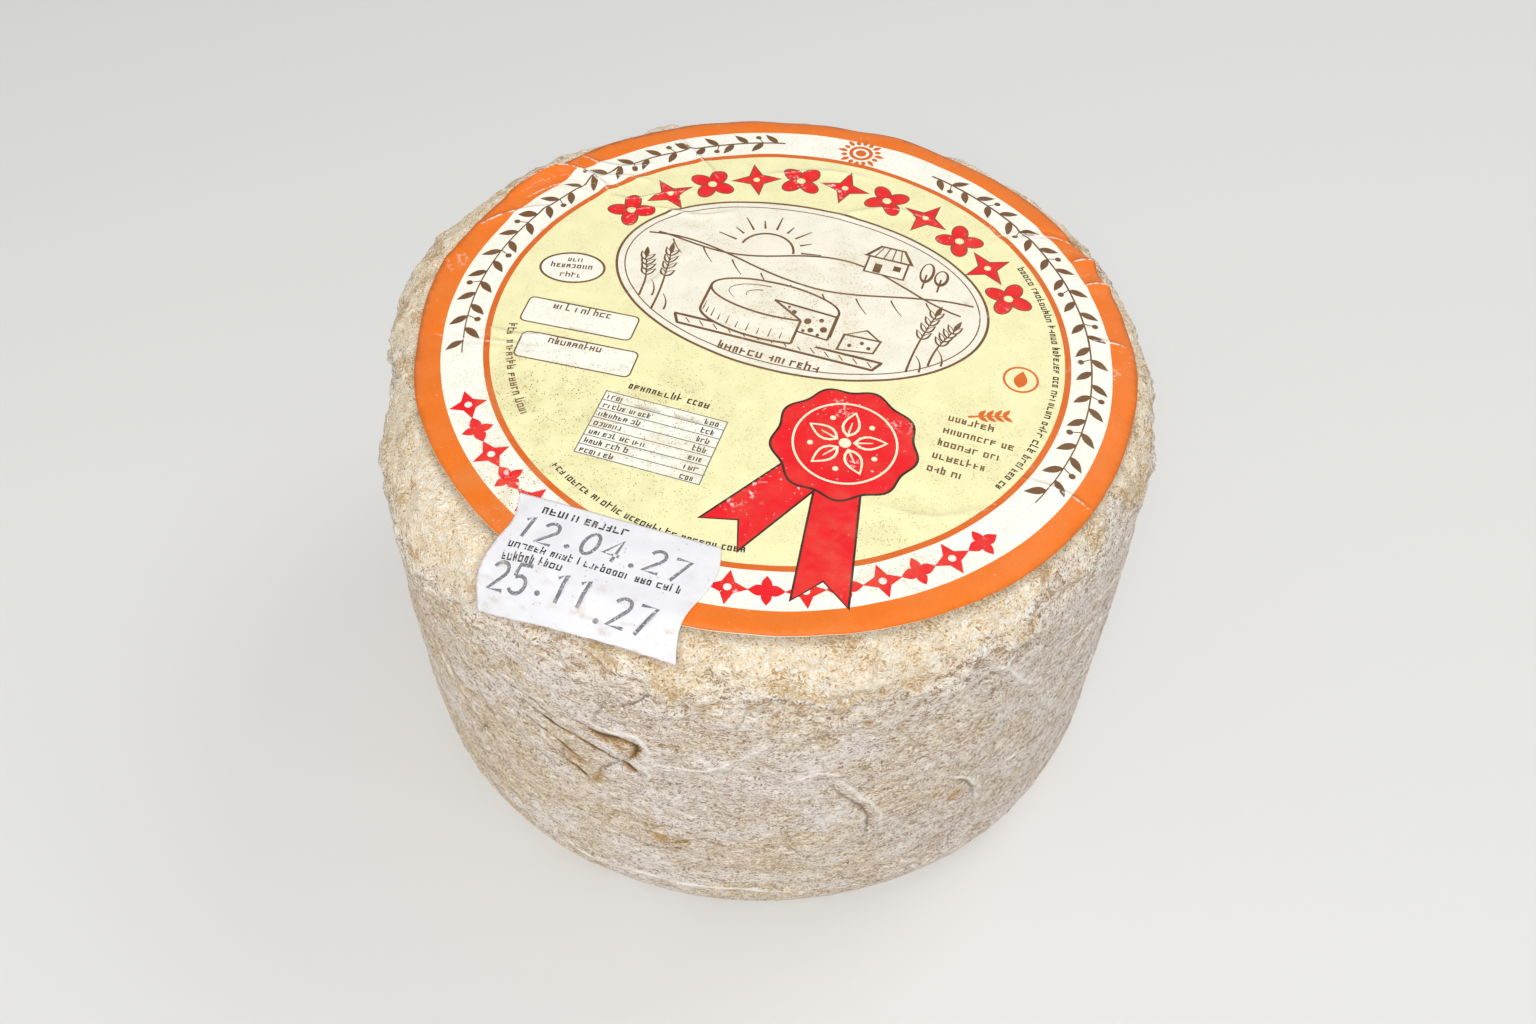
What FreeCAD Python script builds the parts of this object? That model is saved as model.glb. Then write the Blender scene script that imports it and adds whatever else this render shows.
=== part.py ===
"""A small whole wheel of pressed cheese with a round paper label and a date sticker.

The wheel is one solid: a low crowned top, a rounded shoulder, a slightly bellied
side and a tight foot, all a little out of round as hand-turned cheese is.
The label is a thin paper disc that follows the top and just turns over the
shoulder.  The sticker is a small wave-cut paper rectangle that lies half on the
label and folds down over the shoulder.  Millimetres, +Z up, origin under the
middle of the wheel on the surface that it stands on.
"""
import FreeCAD, Part
import math
import os

from FreeCAD import Vector

# ---- Driving dimensions -------------------------------------------------------
wheel_diameter = 130.0      # mean width at the side
wheel_height = 80.7         # foot to the middle of the top
crown_rise = 0.7            # the middle of the top above the start of the shoulder
shoulder_in = 9.9           # how far in from the side the shoulder starts
shoulder_drop = 12.0        # how far down the side the shoulder reaches
belly = 0.5                 # how far the side swells halfway down
foot_in = 4.8               # the flat underside is this much smaller all round
foot_rise = 9.8             # height of the rounding at the foot
top_lean = 0.66             # how much higher the top is at its high edge
top_lean_azimuth = 56.0     # where that high edge is, degrees from +X

label_radius = 57.9         # of the flat paper disc before it is laid down
label_thickness = 0.25
label_shift_x = 1.4         # the label is not quite in the middle of the top
label_shift_y = -0.5

sticker_length = 31.0
sticker_width = 19.0
sticker_thickness = 0.2
sticker_wave = 1.0          # how far its two short ends swing in and out
sticker_azimuth = -114.3    # where it lies, degrees from +X
sticker_inside = 3.4        # its middle is this far inside the label's edge
sticker_turn = -15.0        # the way its long side runs, degrees from +X

# How the wheel is out of round: (lobes, height of each lobe, direction of one).
top_lobes = (
    (1, 0.95, -115.0),
    (2, 0.52, 68.0),
    (3, 0.59, 25.0),
)
foot_lobes = (
    (1, 1.09, -41.0),
    (2, 0.64, -20.0),
    (3, 0.69, -16.0),
)

# Where the upper edge was pushed in (-) or bulges (+): (direction, spread, push).
edge_pushes = (
    (-35.0, 17.0, -1.2),
    (15.0, 17.0, -1.0),
    (105.0, 42.0, -0.85),
    (165.0, 17.0, 1.5),
    (190.0, 17.0, -3.6),
    (215.0, 17.0, 1.6),
)

# Shallow hollows (+) and swellings (-) that cloth and shelf leave in the side:
# (direction, share of the height, reach, depth).
hollows = (
    (-106.0, 0.55, 12.0, 0.5),
    (-68.0, 0.50, 14.0, -0.4),
    (60.0, 0.45, 15.0, 0.6),
    (128.0, 0.35, 13.0, -0.5),
)

# ---- How finely the skin is drawn ---------------------------------------------
degree = 3                  # of the smooth skin, both ways
poles_around = 48
top_steps = 9
shoulder_steps = 8
side_steps = 10
foot_steps = 5
cap_radius = 3.0            # the little level spot in the middle of the top
track_finer = 4             # lengths are measured on this many times finer steps
outline_points = 72         # round the label
side_points = 10            # along each side of the sticker
cutter_depth = 16.0         # how deep a paper cutter reaches, far more than paper


def meridian(finer=1):
    """The plain half section, from the middle of the top to the underside.

    Each entry is (radius, height, outward radius part, outward height part).
    """
    side_radius = wheel_diameter / 2.0
    top_radius = side_radius - shoulder_in
    shoulder_top = wheel_height - crown_rise
    shoulder_foot = shoulder_top - shoulder_drop
    points = []

    def add(radius, height, out_radius, out_height):
        size = math.hypot(out_radius, out_height)
        points.append((radius, height, out_radius / size, out_height / size))

    count = top_steps * finer
    for i in range(count):
        radius = cap_radius + (top_radius - cap_radius) * i / count
        share = radius / top_radius
        slope = 2.0 * crown_rise * share / top_radius
        add(radius, wheel_height - crown_rise * share ** 2, slope, 1.0)
    count = shoulder_steps * finer
    for i in range(count):
        turn = math.pi / 2.0 * i / count
        add(top_radius + shoulder_in * math.sin(turn),
            shoulder_foot + shoulder_drop * math.cos(turn),
            math.sin(turn) * shoulder_drop, math.cos(turn) * shoulder_in)
    middle = (shoulder_foot + foot_rise) / 2.0
    half = (shoulder_foot - foot_rise) / 2.0
    count = side_steps * finer
    for i in range(count):
        height = shoulder_foot + (foot_rise - shoulder_foot) * i / count
        share = (height - middle) / half
        add(side_radius + belly * (1.0 - share ** 2), height,
            1.0, 2.0 * belly * share / half)
    count = foot_steps * finer
    for i in range(count + 1):
        turn = math.pi / 2.0 * i / count
        add(side_radius - foot_in * (1.0 - math.cos(turn)),
            foot_rise * (1.0 - math.sin(turn)),
            math.cos(turn) * foot_rise, -math.sin(turn) * foot_in)
    return points


def lobed(lobes, azimuth):
    """How far the lobes move the skin outward in one direction."""
    return sum(size * math.cos(count * (azimuth - math.radians(way)))
               for count, size, way in lobes)


def pushed(azimuth):
    """How far the pushes move the upper edge outward in one direction."""
    total = 0.0
    for way, spread, push in edge_pushes:
        apart = math.degrees(azimuth) - way
        apart = (apart + 180.0) % 360.0 - 180.0
        total += push * math.exp(-(apart / spread) ** 2)
    return total


def swelling(place):
    """How far the hollows move the skin outward at a point of the round wheel."""
    side_radius = wheel_diameter / 2.0
    total = 0.0
    for way, share, reach, depth in hollows:
        way = math.radians(way)
        centre = Vector(side_radius * math.cos(way), side_radius * math.sin(way),
                        share * wheel_height)
        total -= depth * math.exp(-((place - centre).Length / reach) ** 2)
    return total


def skin_point(station, azimuth, lift):
    """One point of the uneven skin, raised by lift along the outward normal."""
    radius, height, out_radius, out_height = station
    side_radius = wheel_diameter / 2.0
    up = height / wheel_height
    across = math.cos(azimuth)
    along = math.sin(azimuth)
    out = lift + swelling(Vector(radius * across, radius * along, height))
    uneven = up * (lobed(top_lobes, azimuth) + pushed(azimuth))
    uneven += (1.0 - up) * lobed(foot_lobes, azimuth)
    reach = radius + uneven * radius / side_radius + out * out_radius
    lean = top_lean * reach / side_radius * math.cos(azimuth - math.radians(top_lean_azimuth))
    return Vector(reach * across, reach * along, height + up * lean + out * out_height)


def wheel_solid(lift):
    """The wheel as one smooth closed solid, its skin raised by lift."""
    stations = meridian()
    # A ring of cubic poles draws a circle a little inside them; this undoes it.
    spread = 3.0 / (2.0 + math.cos(2.0 * math.pi / poles_around))
    rings = []
    for number, station in enumerate(stations):
        ring = []
        for i in range(poles_around):
            azimuth = 2.0 * math.pi * i / poles_around
            if number < 2:
                # The middle of the top is a flat disc, which closes the skin there.
                radius = station[0]
                lean = top_lean * radius / (wheel_diameter / 2.0)
                lean *= math.cos(azimuth - math.radians(top_lean_azimuth))
                point = Vector(radius * math.cos(azimuth), radius * math.sin(azimuth),
                               stations[0][1] + lean + lift)
            else:
                point = skin_point(station, azimuth, lift)
            if number == len(stations) - 1:
                point.z = -lift
            ring.append(Vector(point.x * spread, point.y * spread, point.z))
        rings.append(ring)

    spans = len(rings) - degree
    surface = Part.BSplineSurface()
    surface.buildFromPolesMultsKnots(
        rings,
        [degree + 1] + [1] * (spans - 1) + [degree + 1],
        [1] * (poles_around + 1),
        [float(i) for i in range(spans + 1)],
        [float(i) for i in range(poles_around + 1)],
        False, True, degree, degree)
    skin = surface.toShape()
    rims = [edge for edge in skin.Edges if edge.isClosed()]
    rims.sort(key=lambda edge: edge.CenterOfMass.z)
    lids = [Part.Face(Part.Wire([rim])) for rim in (rims[0], rims[-1])]
    shell = Part.Shell([skin] + lids)
    shell.sewShape()
    solid = Part.Solid(shell)
    if solid.Volume < 0.0:
        solid.reverse()
    return solid


def on_skin(arc, azimuth):
    """The point of the skin at a length of arc from the middle of the top."""
    last = Vector(0.0, 0.0, wheel_height)
    walked = 0.0
    for station in meridian(track_finer):
        point = skin_point(station, azimuth, 0.0)
        step = (point - last).Length
        if walked + step >= arc:
            return last + (point - last) * ((arc - walked) / step)
        walked += step
        last = point
    return last


def laid_down(x, y):
    """Where a point of flat paper, in its own plane, comes to lie on the skin."""
    return on_skin(math.hypot(x, y), math.atan2(y, x))


def label_cutter():
    """A cone from the middle of the foot through the outline of the laid-down disc."""
    outline = []
    for i in range(outline_points):
        turn = 2.0 * math.pi * i / outline_points
        outline.append(laid_down(label_shift_x + label_radius * math.cos(turn),
                                 label_shift_y + label_radius * math.sin(turn)))
    rings = []
    for level in (cutter_depth, wheel_height + cutter_depth):
        curve = Part.BSplineCurve()
        curve.interpolate(Points=[point * (level / point.z) for point in outline],
                          PeriodicFlag=True)
        rings.append(Part.Wire([curve.toShape()]))
    return Part.makeLoft(rings, True, True)


def sticker_cutter():
    """A prism on the outline of the laid-down sticker, square to the shoulder there."""
    way = math.radians(sticker_azimuth)
    run = math.radians(sticker_turn)
    edge = (label_radius + label_shift_x * math.cos(way) + label_shift_y * math.sin(way))
    middle_x = (edge - sticker_inside) * math.cos(way)
    middle_y = (edge - sticker_inside) * math.sin(way)

    def place(along, up):
        return laid_down(middle_x + along * math.cos(run) - up * math.sin(run),
                         middle_y + along * math.sin(run) + up * math.cos(run))

    half_length = sticker_length / 2.0
    half_width = sticker_width / 2.0
    middle = place(0.0, 0.0)
    across = place(half_length, 0.0) - place(-half_length, 0.0)
    upward = place(0.0, half_width) - place(0.0, -half_width)
    square = across.cross(upward)
    square.normalize()

    def flattened(along, up):
        point = place(along, up)
        return point - square * (point - middle).dot(square)

    def end(side, share):
        up = sticker_width * (share - 0.5)
        wave = sticker_wave * math.sin(2.0 * math.pi * (share - 0.5))
        return side * half_length + wave, up

    shares = [i / side_points for i in range(side_points + 1)]
    sides = [
        [end(-1.0, 1.0 - share) for share in shares],
        [(sticker_length * (share - 0.5), -half_width) for share in shares],
        [end(1.0, share) for share in shares],
        [(sticker_length * (0.5 - share), half_width) for share in shares],
    ]
    edges = []
    for side in sides:
        curve = Part.BSplineCurve()
        curve.interpolate([flattened(along, up) for along, up in side])
        edges.append(curve.toShape())
    face = Part.Face(Part.Wire(edges))
    face.translate(square * -cutter_depth)
    return face.extrude(square * (2.0 * cutter_depth))


def build():
    """The three solids: each paper is the gap between two skins, cut to its outline."""
    wheel = wheel_solid(0.0)
    under_sticker = wheel_solid(label_thickness)
    over_sticker = wheel_solid(label_thickness + sticker_thickness)
    label = under_sticker.common(label_cutter()).cut(wheel)
    sticker = over_sticker.common(sticker_cutter()).cut(under_sticker)
    return {
        "cheese_wheel": wheel,
        "top_label": label,
        "date_sticker": sticker,
    }


pieces = build()

# The origin goes under the middle of the whole thing.
box = FreeCAD.BoundBox()
for shape in pieces.values():
    box.add(shape.optimalBoundingBox(True, False))
shift = Vector(-(box.XMin + box.XMax) / 2.0, -(box.YMin + box.YMax) / 2.0, -box.ZMin)

os.makedirs("parts", exist_ok=True)
for name, shape in pieces.items():
    if len(shape.Solids) != 1:
        raise ValueError(name + " has to be one solid, not " + str(len(shape.Solids)))
    solid = shape.Solids[0]
    solid.translate(shift)
    solid.exportStep("parts/" + name + ".step")
    print(name, "valid", solid.isValid(), "volume", round(solid.Volume, 1),
          "faces", len(solid.Faces))
print("box", round(box.XLength, 2), round(box.YLength, 2), round(box.ZLength, 2),
      "shift", round(shift.x, 3), round(shift.y, 3), round(shift.z, 3))
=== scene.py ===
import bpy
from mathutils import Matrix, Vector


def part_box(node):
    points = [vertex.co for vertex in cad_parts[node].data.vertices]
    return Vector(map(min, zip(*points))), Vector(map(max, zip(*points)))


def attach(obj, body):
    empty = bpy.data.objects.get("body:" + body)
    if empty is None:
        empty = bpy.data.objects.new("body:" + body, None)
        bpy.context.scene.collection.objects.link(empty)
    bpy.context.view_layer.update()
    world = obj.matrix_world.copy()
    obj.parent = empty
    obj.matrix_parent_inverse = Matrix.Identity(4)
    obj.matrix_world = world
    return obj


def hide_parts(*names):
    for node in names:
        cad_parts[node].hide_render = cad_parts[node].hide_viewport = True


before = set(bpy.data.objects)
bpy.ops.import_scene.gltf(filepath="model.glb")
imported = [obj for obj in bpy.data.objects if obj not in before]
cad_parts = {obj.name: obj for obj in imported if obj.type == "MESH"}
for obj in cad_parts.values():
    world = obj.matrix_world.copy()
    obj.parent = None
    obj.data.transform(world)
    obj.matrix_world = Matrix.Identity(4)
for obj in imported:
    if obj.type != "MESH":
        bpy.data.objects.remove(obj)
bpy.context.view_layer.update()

import math

import bpy
import numpy as np
from mathutils import Matrix, Vector
from mathutils.bvhtree import BVHTree
from mathutils.geometry import delaunay_2d_cdt

mm = 0.001


# ======================================================================================
# The wheel of cheese
# A small pressed cheese of mixed milk with its natural rind.  It was turned by hand on
# cloth and shelf, so its side is dented, its shoulder carries a dry cream crust that
# breaks off in a ragged ledge, and its side has old knocks, creases and stains.
# ======================================================================================

label_low, label_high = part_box("top_label")
wheel_low, wheel_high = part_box("cheese_wheel")
# The label's middle: the papers and the rind are measured out from here.
centre = ((label_low.x + label_high.x) / 2, (label_low.y + label_high.y) / 2)
wheel_radius = (wheel_high.x - wheel_low.x + wheel_high.y - wheel_low.y) / 4
wheel_height = wheel_high.z


def smooth_step(low, high, value):
    """0 below low, 1 above high, and a soft rise between them."""
    share = np.clip((value - low) / (high - low), 0, 1)
    return share * share * (3 - 2 * share)


def hump(gap, width):
    """1 where gap is nothing, fading to 0 past width."""
    return np.exp(-(gap / width) ** 2)


def unit(vectors):
    """Vectors in the same directions, of length 1."""
    return vectors / np.linalg.norm(vectors, axis=-1, keepdims=True)


def wrapped(angle):
    """Angles of the same directions, between half a turn back and half a turn on."""
    return (angle + np.pi) % (2 * np.pi) - np.pi


def faces_of(node):
    """A frame node's faces, to measure to."""
    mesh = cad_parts[node].data
    return BVHTree.FromPolygons([v.co for v in mesh.vertices], [p.vertices for p in mesh.polygons])


def read_skin(node, spacing, columns):
    """The node's skin as rows of points, from the middle of the top over the side and in
    under the foot.  Rows are spacing apart and each goes once round the wheel."""
    lobes_kept = 26              # waves once round the wheel that are wanted
    eased_over = 1.1 * mm
    rows_eased = 4
    tree = faces_of(node)
    middle = Vector((*centre, wheel_height / 2))
    walk = 2 * wheel_radius + wheel_height
    rows = int(walk / spacing)
    aims = np.zeros((rows, columns, 3))
    reach = np.zeros((rows, columns))
    for row, column in np.ndindex(rows, columns):
        gone = walk * row / (rows - 1)
        out = min(gone, wheel_radius, walk - gone)
        up = wheel_height / 2 - min(max(gone - wheel_radius, 0), wheel_height)
        way = 2 * math.pi * column / columns
        aim = Vector((out * math.cos(way), out * math.sin(way), up)).normalized()
        aims[row, column] = aim
        reach[row, column] = tree.ray_cast(middle, aim)[3]
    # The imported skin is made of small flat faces; this takes them out and keeps the form.
    lobes = np.fft.rfft(reach, axis=1)
    lobes *= np.exp(-(np.arange(lobes.shape[1]) / lobes_kept) ** 4)
    reach = np.fft.irfft(lobes, n=columns, axis=1)

    def eased(values):
        weights = hump(np.arange(-rows_eased, rows_eased + 1) * spacing, eased_over)
        padded = np.pad(values, ((rows_eased, rows_eased), (0, 0)), mode="reflect")
        return sum(w * padded[i:i + rows] for i, w in enumerate(weights)) / weights.sum()

    reach = 2 * eased(reach) - eased(eased(reach))
    return np.array(middle) + aims * reach[:, :, None]


def between(table, row, column):
    """Values of a table of rows round the wheel at fractional rows and columns."""
    rows, columns = table.shape[:2]
    row = np.clip(row, 0, rows - 1.001)
    column = column % columns
    r = row.astype(int)
    c = column.astype(int) % columns
    d = (c + 1) % columns
    fr = (row - r)[..., None]
    fc = (column - np.floor(column))[..., None]
    return ((table[r, c] * (1 - fr) + table[r + 1, c] * fr) * (1 - fc)
            + (table[r, d] * (1 - fr) + table[r + 1, d] * fr) * fc)


skin_columns = 360
skin_ways = 2 * np.pi * np.arange(skin_columns) / skin_columns
skin = read_skin("cheese_wheel", 0.8 * mm, skin_columns)


def outward(table):
    """Unit normals of a table of points, outward."""
    down = np.gradient(table, axis=0)
    around = np.roll(table, -1, 1) - np.roll(table, 1, 1)
    size = np.linalg.norm(around, axis=2, keepdims=True)
    plain = np.stack([-np.sin(skin_ways), np.cos(skin_ways), 0 * skin_ways], -1)[None]
    around = np.where(size > 0.1 * mm, around / np.maximum(size, 1e-9), plain)
    return unit(np.cross(down, around))


skin_out = outward(skin)
skin_arc = np.zeros(skin.shape[:2])
skin_arc[1:] = np.cumsum(np.linalg.norm(np.diff(skin, axis=0), axis=2), axis=0)


def grain(points, size, seed):
    """Smooth random values about -1 to 1 at points in space, in lumps about size across."""
    off_middle = 31.7
    evened = 1.6
    random = np.random.default_rng(seed)
    shuffled = random.permutation(256)
    slopes = unit(random.normal(size=(256, 3)))
    place = points / size + off_middle
    corner = np.floor(place).astype(int)
    part = place - corner
    blend = part ** 3 * (part * (part * 6 - 15) + 10)
    total = np.zeros(len(points))
    for step in np.ndindex(2, 2, 2):
        mixed = 0
        for axis in range(3):
            mixed = shuffled[(mixed + corner[:, axis] + step[axis]) & 255]
        weight = np.where(step, blend, 1 - blend).prod(axis=1)
        total += weight * np.sum(slopes[mixed] * (part - step), axis=1)
    return total * evened


# Marks in the side: (half width, depth, stain, points as direction in degrees and height
# in millimetres).  A negative depth is a raised crease, and one of nothing only a stain.
marks = [
    (0.7, 0.35, 0.8, [(-122.5, 56.8), (-115, 54.8), (-108, 51.8), (-106, 50.2)]),
    (0.8, 0.55, 1, [(-113.5, 58.9), (-110, 57.8), (-106.5, 58.6), (-105, 57.2), (-105.5, 54.2),
                    (-107, 51.8)]),
    (0.5, 0.35, 0.3, [(-107, 51.8), (-110, 47.6), (-111, 45.2)]),
    (0.8, 0.55, 1, [(-107, 51.8), (-105, 48.6)]),
    (0.5, 0.25, 0.3, [(-115, 51.8), (-116, 45.2), (-113, 42.2)]),
    (0.6, 0.4, 0.9, [(-115.4, 44.4), (-113.4, 42.6), (-112.6, 41)]),
    (1.3, 0.12, 0.8, [(-109.5, 47), (-111, 43.4), (-112.5, 39.8)]),
    (0.4, 0.3, 0.8, [(-124, 53), (-118, 51), (-111.5, 46)]),
    (1.4, 0, 0.78, [(-114, 58), (-110, 57.2), (-107, 56.8), (-106.3, 52)]),
    (1.3, 0, 0.74, [(-106.4, 51), (-105.2, 49.2)]),
    (1.2, 0, 0.74, [(-116, 51), (-114, 47), (-110, 46)]),
    (1, 0, 0.8, [(-116, 45.6), (-113.6, 42.8)]),
    (0.6, -0.34, 0, [(-112, 60.6), (-109, 59.8), (-105.4, 60.6), (-103.6, 57.6), (-104.2, 54)]),
    (0.6, -0.36, 0, [(-104.2, 51.4), (-103.4, 49.2), (-104.6, 47.2)]),
    (0.5, -0.28, 0, [(-118.2, 54), (-119.4, 50), (-117.6, 46.6)]),
    (0.4, 0.25, 0.4, [(-126.5, 60.5), (-120, 58.8), (-115, 56)]),
    (0.3, 0.25, 0.3, [(-128, 47), (-121.5, 43.5), (-117.5, 39)]),
    (0.3, 0.25, 0.4, [(-109, 33.5), (-106, 33.8)]),
    (0.3, 0.2, 0.4, [(-112, 30), (-109.5, 30.6)]),
    (0.4, 0.25, 0.5, [(-110, 27), (-104.5, 24.6), (-97.5, 25.4)]),
    (0.3, 0.25, 0.3, [(-136, 62), (-131, 52), (-127.5, 41)]),
    (0.3, 0.25, 0.3, [(-141, 58), (-136.5, 46), (-134, 36)]),
    (0.5, 0.35, 0.5, [(-101.5, 74.6), (-107, 66.8)]),
    (0.5, 0.2, 0.2, [(-108.5, 68.6), (-111, 60.8)]),
    (0.5, 0.25, 0.3, [(-130, 40.4), (-133.5, 32)]),
    (0.6, 0.3, 0.4, [(-129.5, 27.2), (-126, 26.6)]),
    (0.7, 0.15, 0.8, [(-96.5, 31.4), (-100, 28), (-104, 25.4)]),
    (0.6, 0.15, 0.7, [(-103.5, 30.8), (-102, 33.2), (-99, 34)]),
    (0.5, 0.5, 0.3, [(-80, 51.2), (-76.5, 45.2), (-73.7, 39.2), (-73, 33.2), (-73.5, 28.4)]),
    (0.5, 0.35, 0.1, [(-60.5, 40), (-58, 37), (-56, 33), (-54.8, 28)]),
    (0.6, 0.3, 0.5, [(-65.5, 17), (-62, 17.6), (-58.5, 18.8)]),
    (0.6, 0.3, 0.4, [(-45, 33), (-41, 31.6), (-37, 32)]),
    (1, -0.32, 0, [(-105, 51), (-101, 54), (-97, 54.4), (-95, 55.4), (-92, 59), (-88, 63.2)]),
    (0.9, -0.28, 0, [(-85.5, 52.4), (-82, 54.2), (-77, 53)]),
    (0.9, -0.32, 0, [(-78.6, 52), (-75, 45.2), (-72, 39.2), (-71.3, 33)]),
    (0.9, -0.36, 0, [(-62, 41.6), (-59, 39), (-56.5, 35.6), (-55.3, 30.8), (-53.6, 26)]),
    (1.2, -0.3, 0, [(-58.5, 70.4), (-53.5, 64.4), (-51, 59), (-45, 53)]),
    (1, -0.3, 0, [(-50.5, 34.4), (-46, 32.6), (-44, 31)]),
    (1.2, -0.3, 0, [(-42, 58.4), (-35, 56)]),
    (1.2, -0.34, 0, [(-35, 60.8), (-24, 55.4), (-17, 50)]),
    (1, -0.25, 0, [(-37, 50.6), (-30, 50.6)]),
    (0.9, -0.4, 0, [(-121, 12.6), (-115, 9.6), (-105, 11.2), (-99, 10.8), (-89, 11.2), (-77, 8.4)]),
    (1, -0.35, 0, [(-163, 40), (-160, 26), (-157, 13)]),
    (0.9, -0.25, 0.2, [(-140, 49), (-135, 43), (-131, 38)]),
    (4.5, 0, 0.6, [(-123, 35), (-119.5, 28), (-121, 20)]),
    (2.4, 0, 0.55, [(-106, 47), (-104, 37), (-103, 24)]),
    (1.8, 0, 0.8, [(-103.4, 31), (-101.5, 27)]),
    (4.5, 0, 0.55, [(-89, 11), (-80, 9), (-71, 11)]),
    (2.2, 0, 0.75, [(-60.5, 36), (-57.5, 31)]),
    (5, 0, 0.45, [(-150, 52), (-146, 36), (-142, 20)]),
    (3, 0, 0.5, [(-133, 24), (-127, 18)]),
    (4, 0, 0.45, [(-34, 46), (-27, 36)]),
]


def more_marks(count, first_way, last_way, seed):
    """Knocks and creases like the ones above, scattered over the rest of the side."""
    random = np.random.default_rng(seed)
    made = []
    for number in range(count):
        way = random.uniform(first_way, last_way)
        height = random.uniform(10, 66)
        heading = random.normal(0, 0.7)
        bend = random.normal(0, 0.5)
        points = [(way, height)]
        for step in range(random.integers(1, 4)):
            length = random.uniform(3, 8)
            way += math.degrees(length * mm * math.cos(heading) / wheel_radius)
            height += length * math.sin(heading)
            heading += bend
            points.append((way, height))
        raised = number % 2 == 0
        depth = -random.uniform(0.2, 0.38) if raised else random.uniform(0.15, 0.5)
        width = random.uniform(0.9, 1.3) if raised else random.uniform(0.5, 0.9)
        made.append((width, depth, 0 if raised else random.uniform(0, 0.9), points))
        if number % 5 == 0:
            made.append((random.uniform(2.5, 5), 0, random.uniform(0.45, 0.7), points))
    return made


marks += more_marks(44, -22, 195, 5)


def rounded(points):
    """A smooth curve through points."""
    points = np.array(points, dtype=float)
    padded = np.vstack([2 * points[0] - points[1], points, 2 * points[-1] - points[-2]])
    curve = []
    for i in range(len(points) - 1):
        a, b, c, d = padded[i:i + 4]
        curve += [0.5 * (2 * b + (c - a) * t + (2 * a - 5 * b + 4 * c - d) * t ** 2
                         + (3 * b - a - 3 * c + d) * t ** 3) for t in (0, 0.2, 0.4, 0.6, 0.8)]
    return np.array(curve + [points[-1]])


def beside_line(places, points):
    """How far places are from a line through points, with a sign for the side, and how far
    along it they are, 0 to 1."""
    apart = np.full(len(places), 1e9)
    side = np.ones(len(places))
    walked = np.zeros(len(places))
    lengths = np.linalg.norm(np.diff(points, axis=0), axis=1)
    for i, length in enumerate(lengths):
        step = points[i + 1] - points[i]
        out = places - points[i]
        share = np.clip(out @ step / length ** 2, 0, 1)
        gap = np.linalg.norm(out - share[:, None] * step, axis=1)
        closer = gap < apart
        apart = np.where(closer, gap, apart)
        turn = step[0] * out[:, 1] - step[1] * out[:, 0]
        side = np.where(closer, np.where(turn < 0, -1, 1), side)
        walked = np.where(closer, lengths[:i].sum() + share * length, walked)
    return apart * side, walked / lengths.sum()


no_line = 9.0        # the gap, in millimetres, where no line is near


def mark_relief(points, way):
    """What the marks do at points of the side: heights, stains, and for grooves and for
    creases how far their line is and how strong."""
    lifted, stained = np.zeros((2, len(points)))
    lines = np.zeros((2, 2, len(points)))
    lines[:, 0] = no_line
    wander = np.stack([grain(points, 4.5 * mm, seed) + 0.5 * grain(points, 1.6 * mm, seed + 1)
                       for seed in (24, 26)], 1) * 0.4 * mm
    for half_width, depth, stain, mark in marks:
        half_width *= mm
        line = rounded(mark) * (math.pi / 180, mm)
        middle = line[:, 0].mean()
        line[:, 0] = (line[:, 0] - middle) * wheel_radius
        place = np.stack([wrapped(way - middle) * wheel_radius, points[:, 2]], 1) + wander
        reach = 6 * half_width
        close = (place > line.min(0) - reach) & (place < line.max(0) + reach)
        near = np.nonzero(close.all(axis=1))[0]
        gap, share = beside_line(place[near], line)
        apart = np.abs(gap)
        taper = np.sqrt(np.clip(4 * share * (1 - share), 0.05, 1))
        profile = hump(apart, half_width)
        if depth > 0:
            profile = 0.3 * hump(apart - 2 * half_width, half_width) - profile
        lifted[near] += 0.65 * abs(depth) * mm * taper * profile
        stained[near] = np.maximum(stained[near], stain * taper * hump(apart, 1.6 * half_width))
        kind = lines[0 if depth > 0 else 1]
        power = taper * min(1, abs(depth) / 0.35) * hump(apart, 1.6 * mm)
        stronger = power > kind[1, near]
        kind[:, near[stronger]] = gap[stronger] / mm, power[stronger]
    return lifted, stained, lines


crust_depth = 8 * mm                   # how far under the top the crust ends, more or less
sticker_way = math.radians(-116)       # beside the sticker it ends sooner
rest_depth = 0.25                      # in millimetres: how far the rind lies under the plain
paper_depth = 0.12                     # skin, how far it does where a paper presses it, and
no_crust = 20                          # what counts as far away from the crust's edge
# Lines of flakes: how far under the crust's edge, and how strong.  The second is the edge
# itself.
flake_lines = [(-2.6, 0.8), (0, 1.5), (2, 1), (4.2, 0.9), (6.8, 0.6)]


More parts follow.
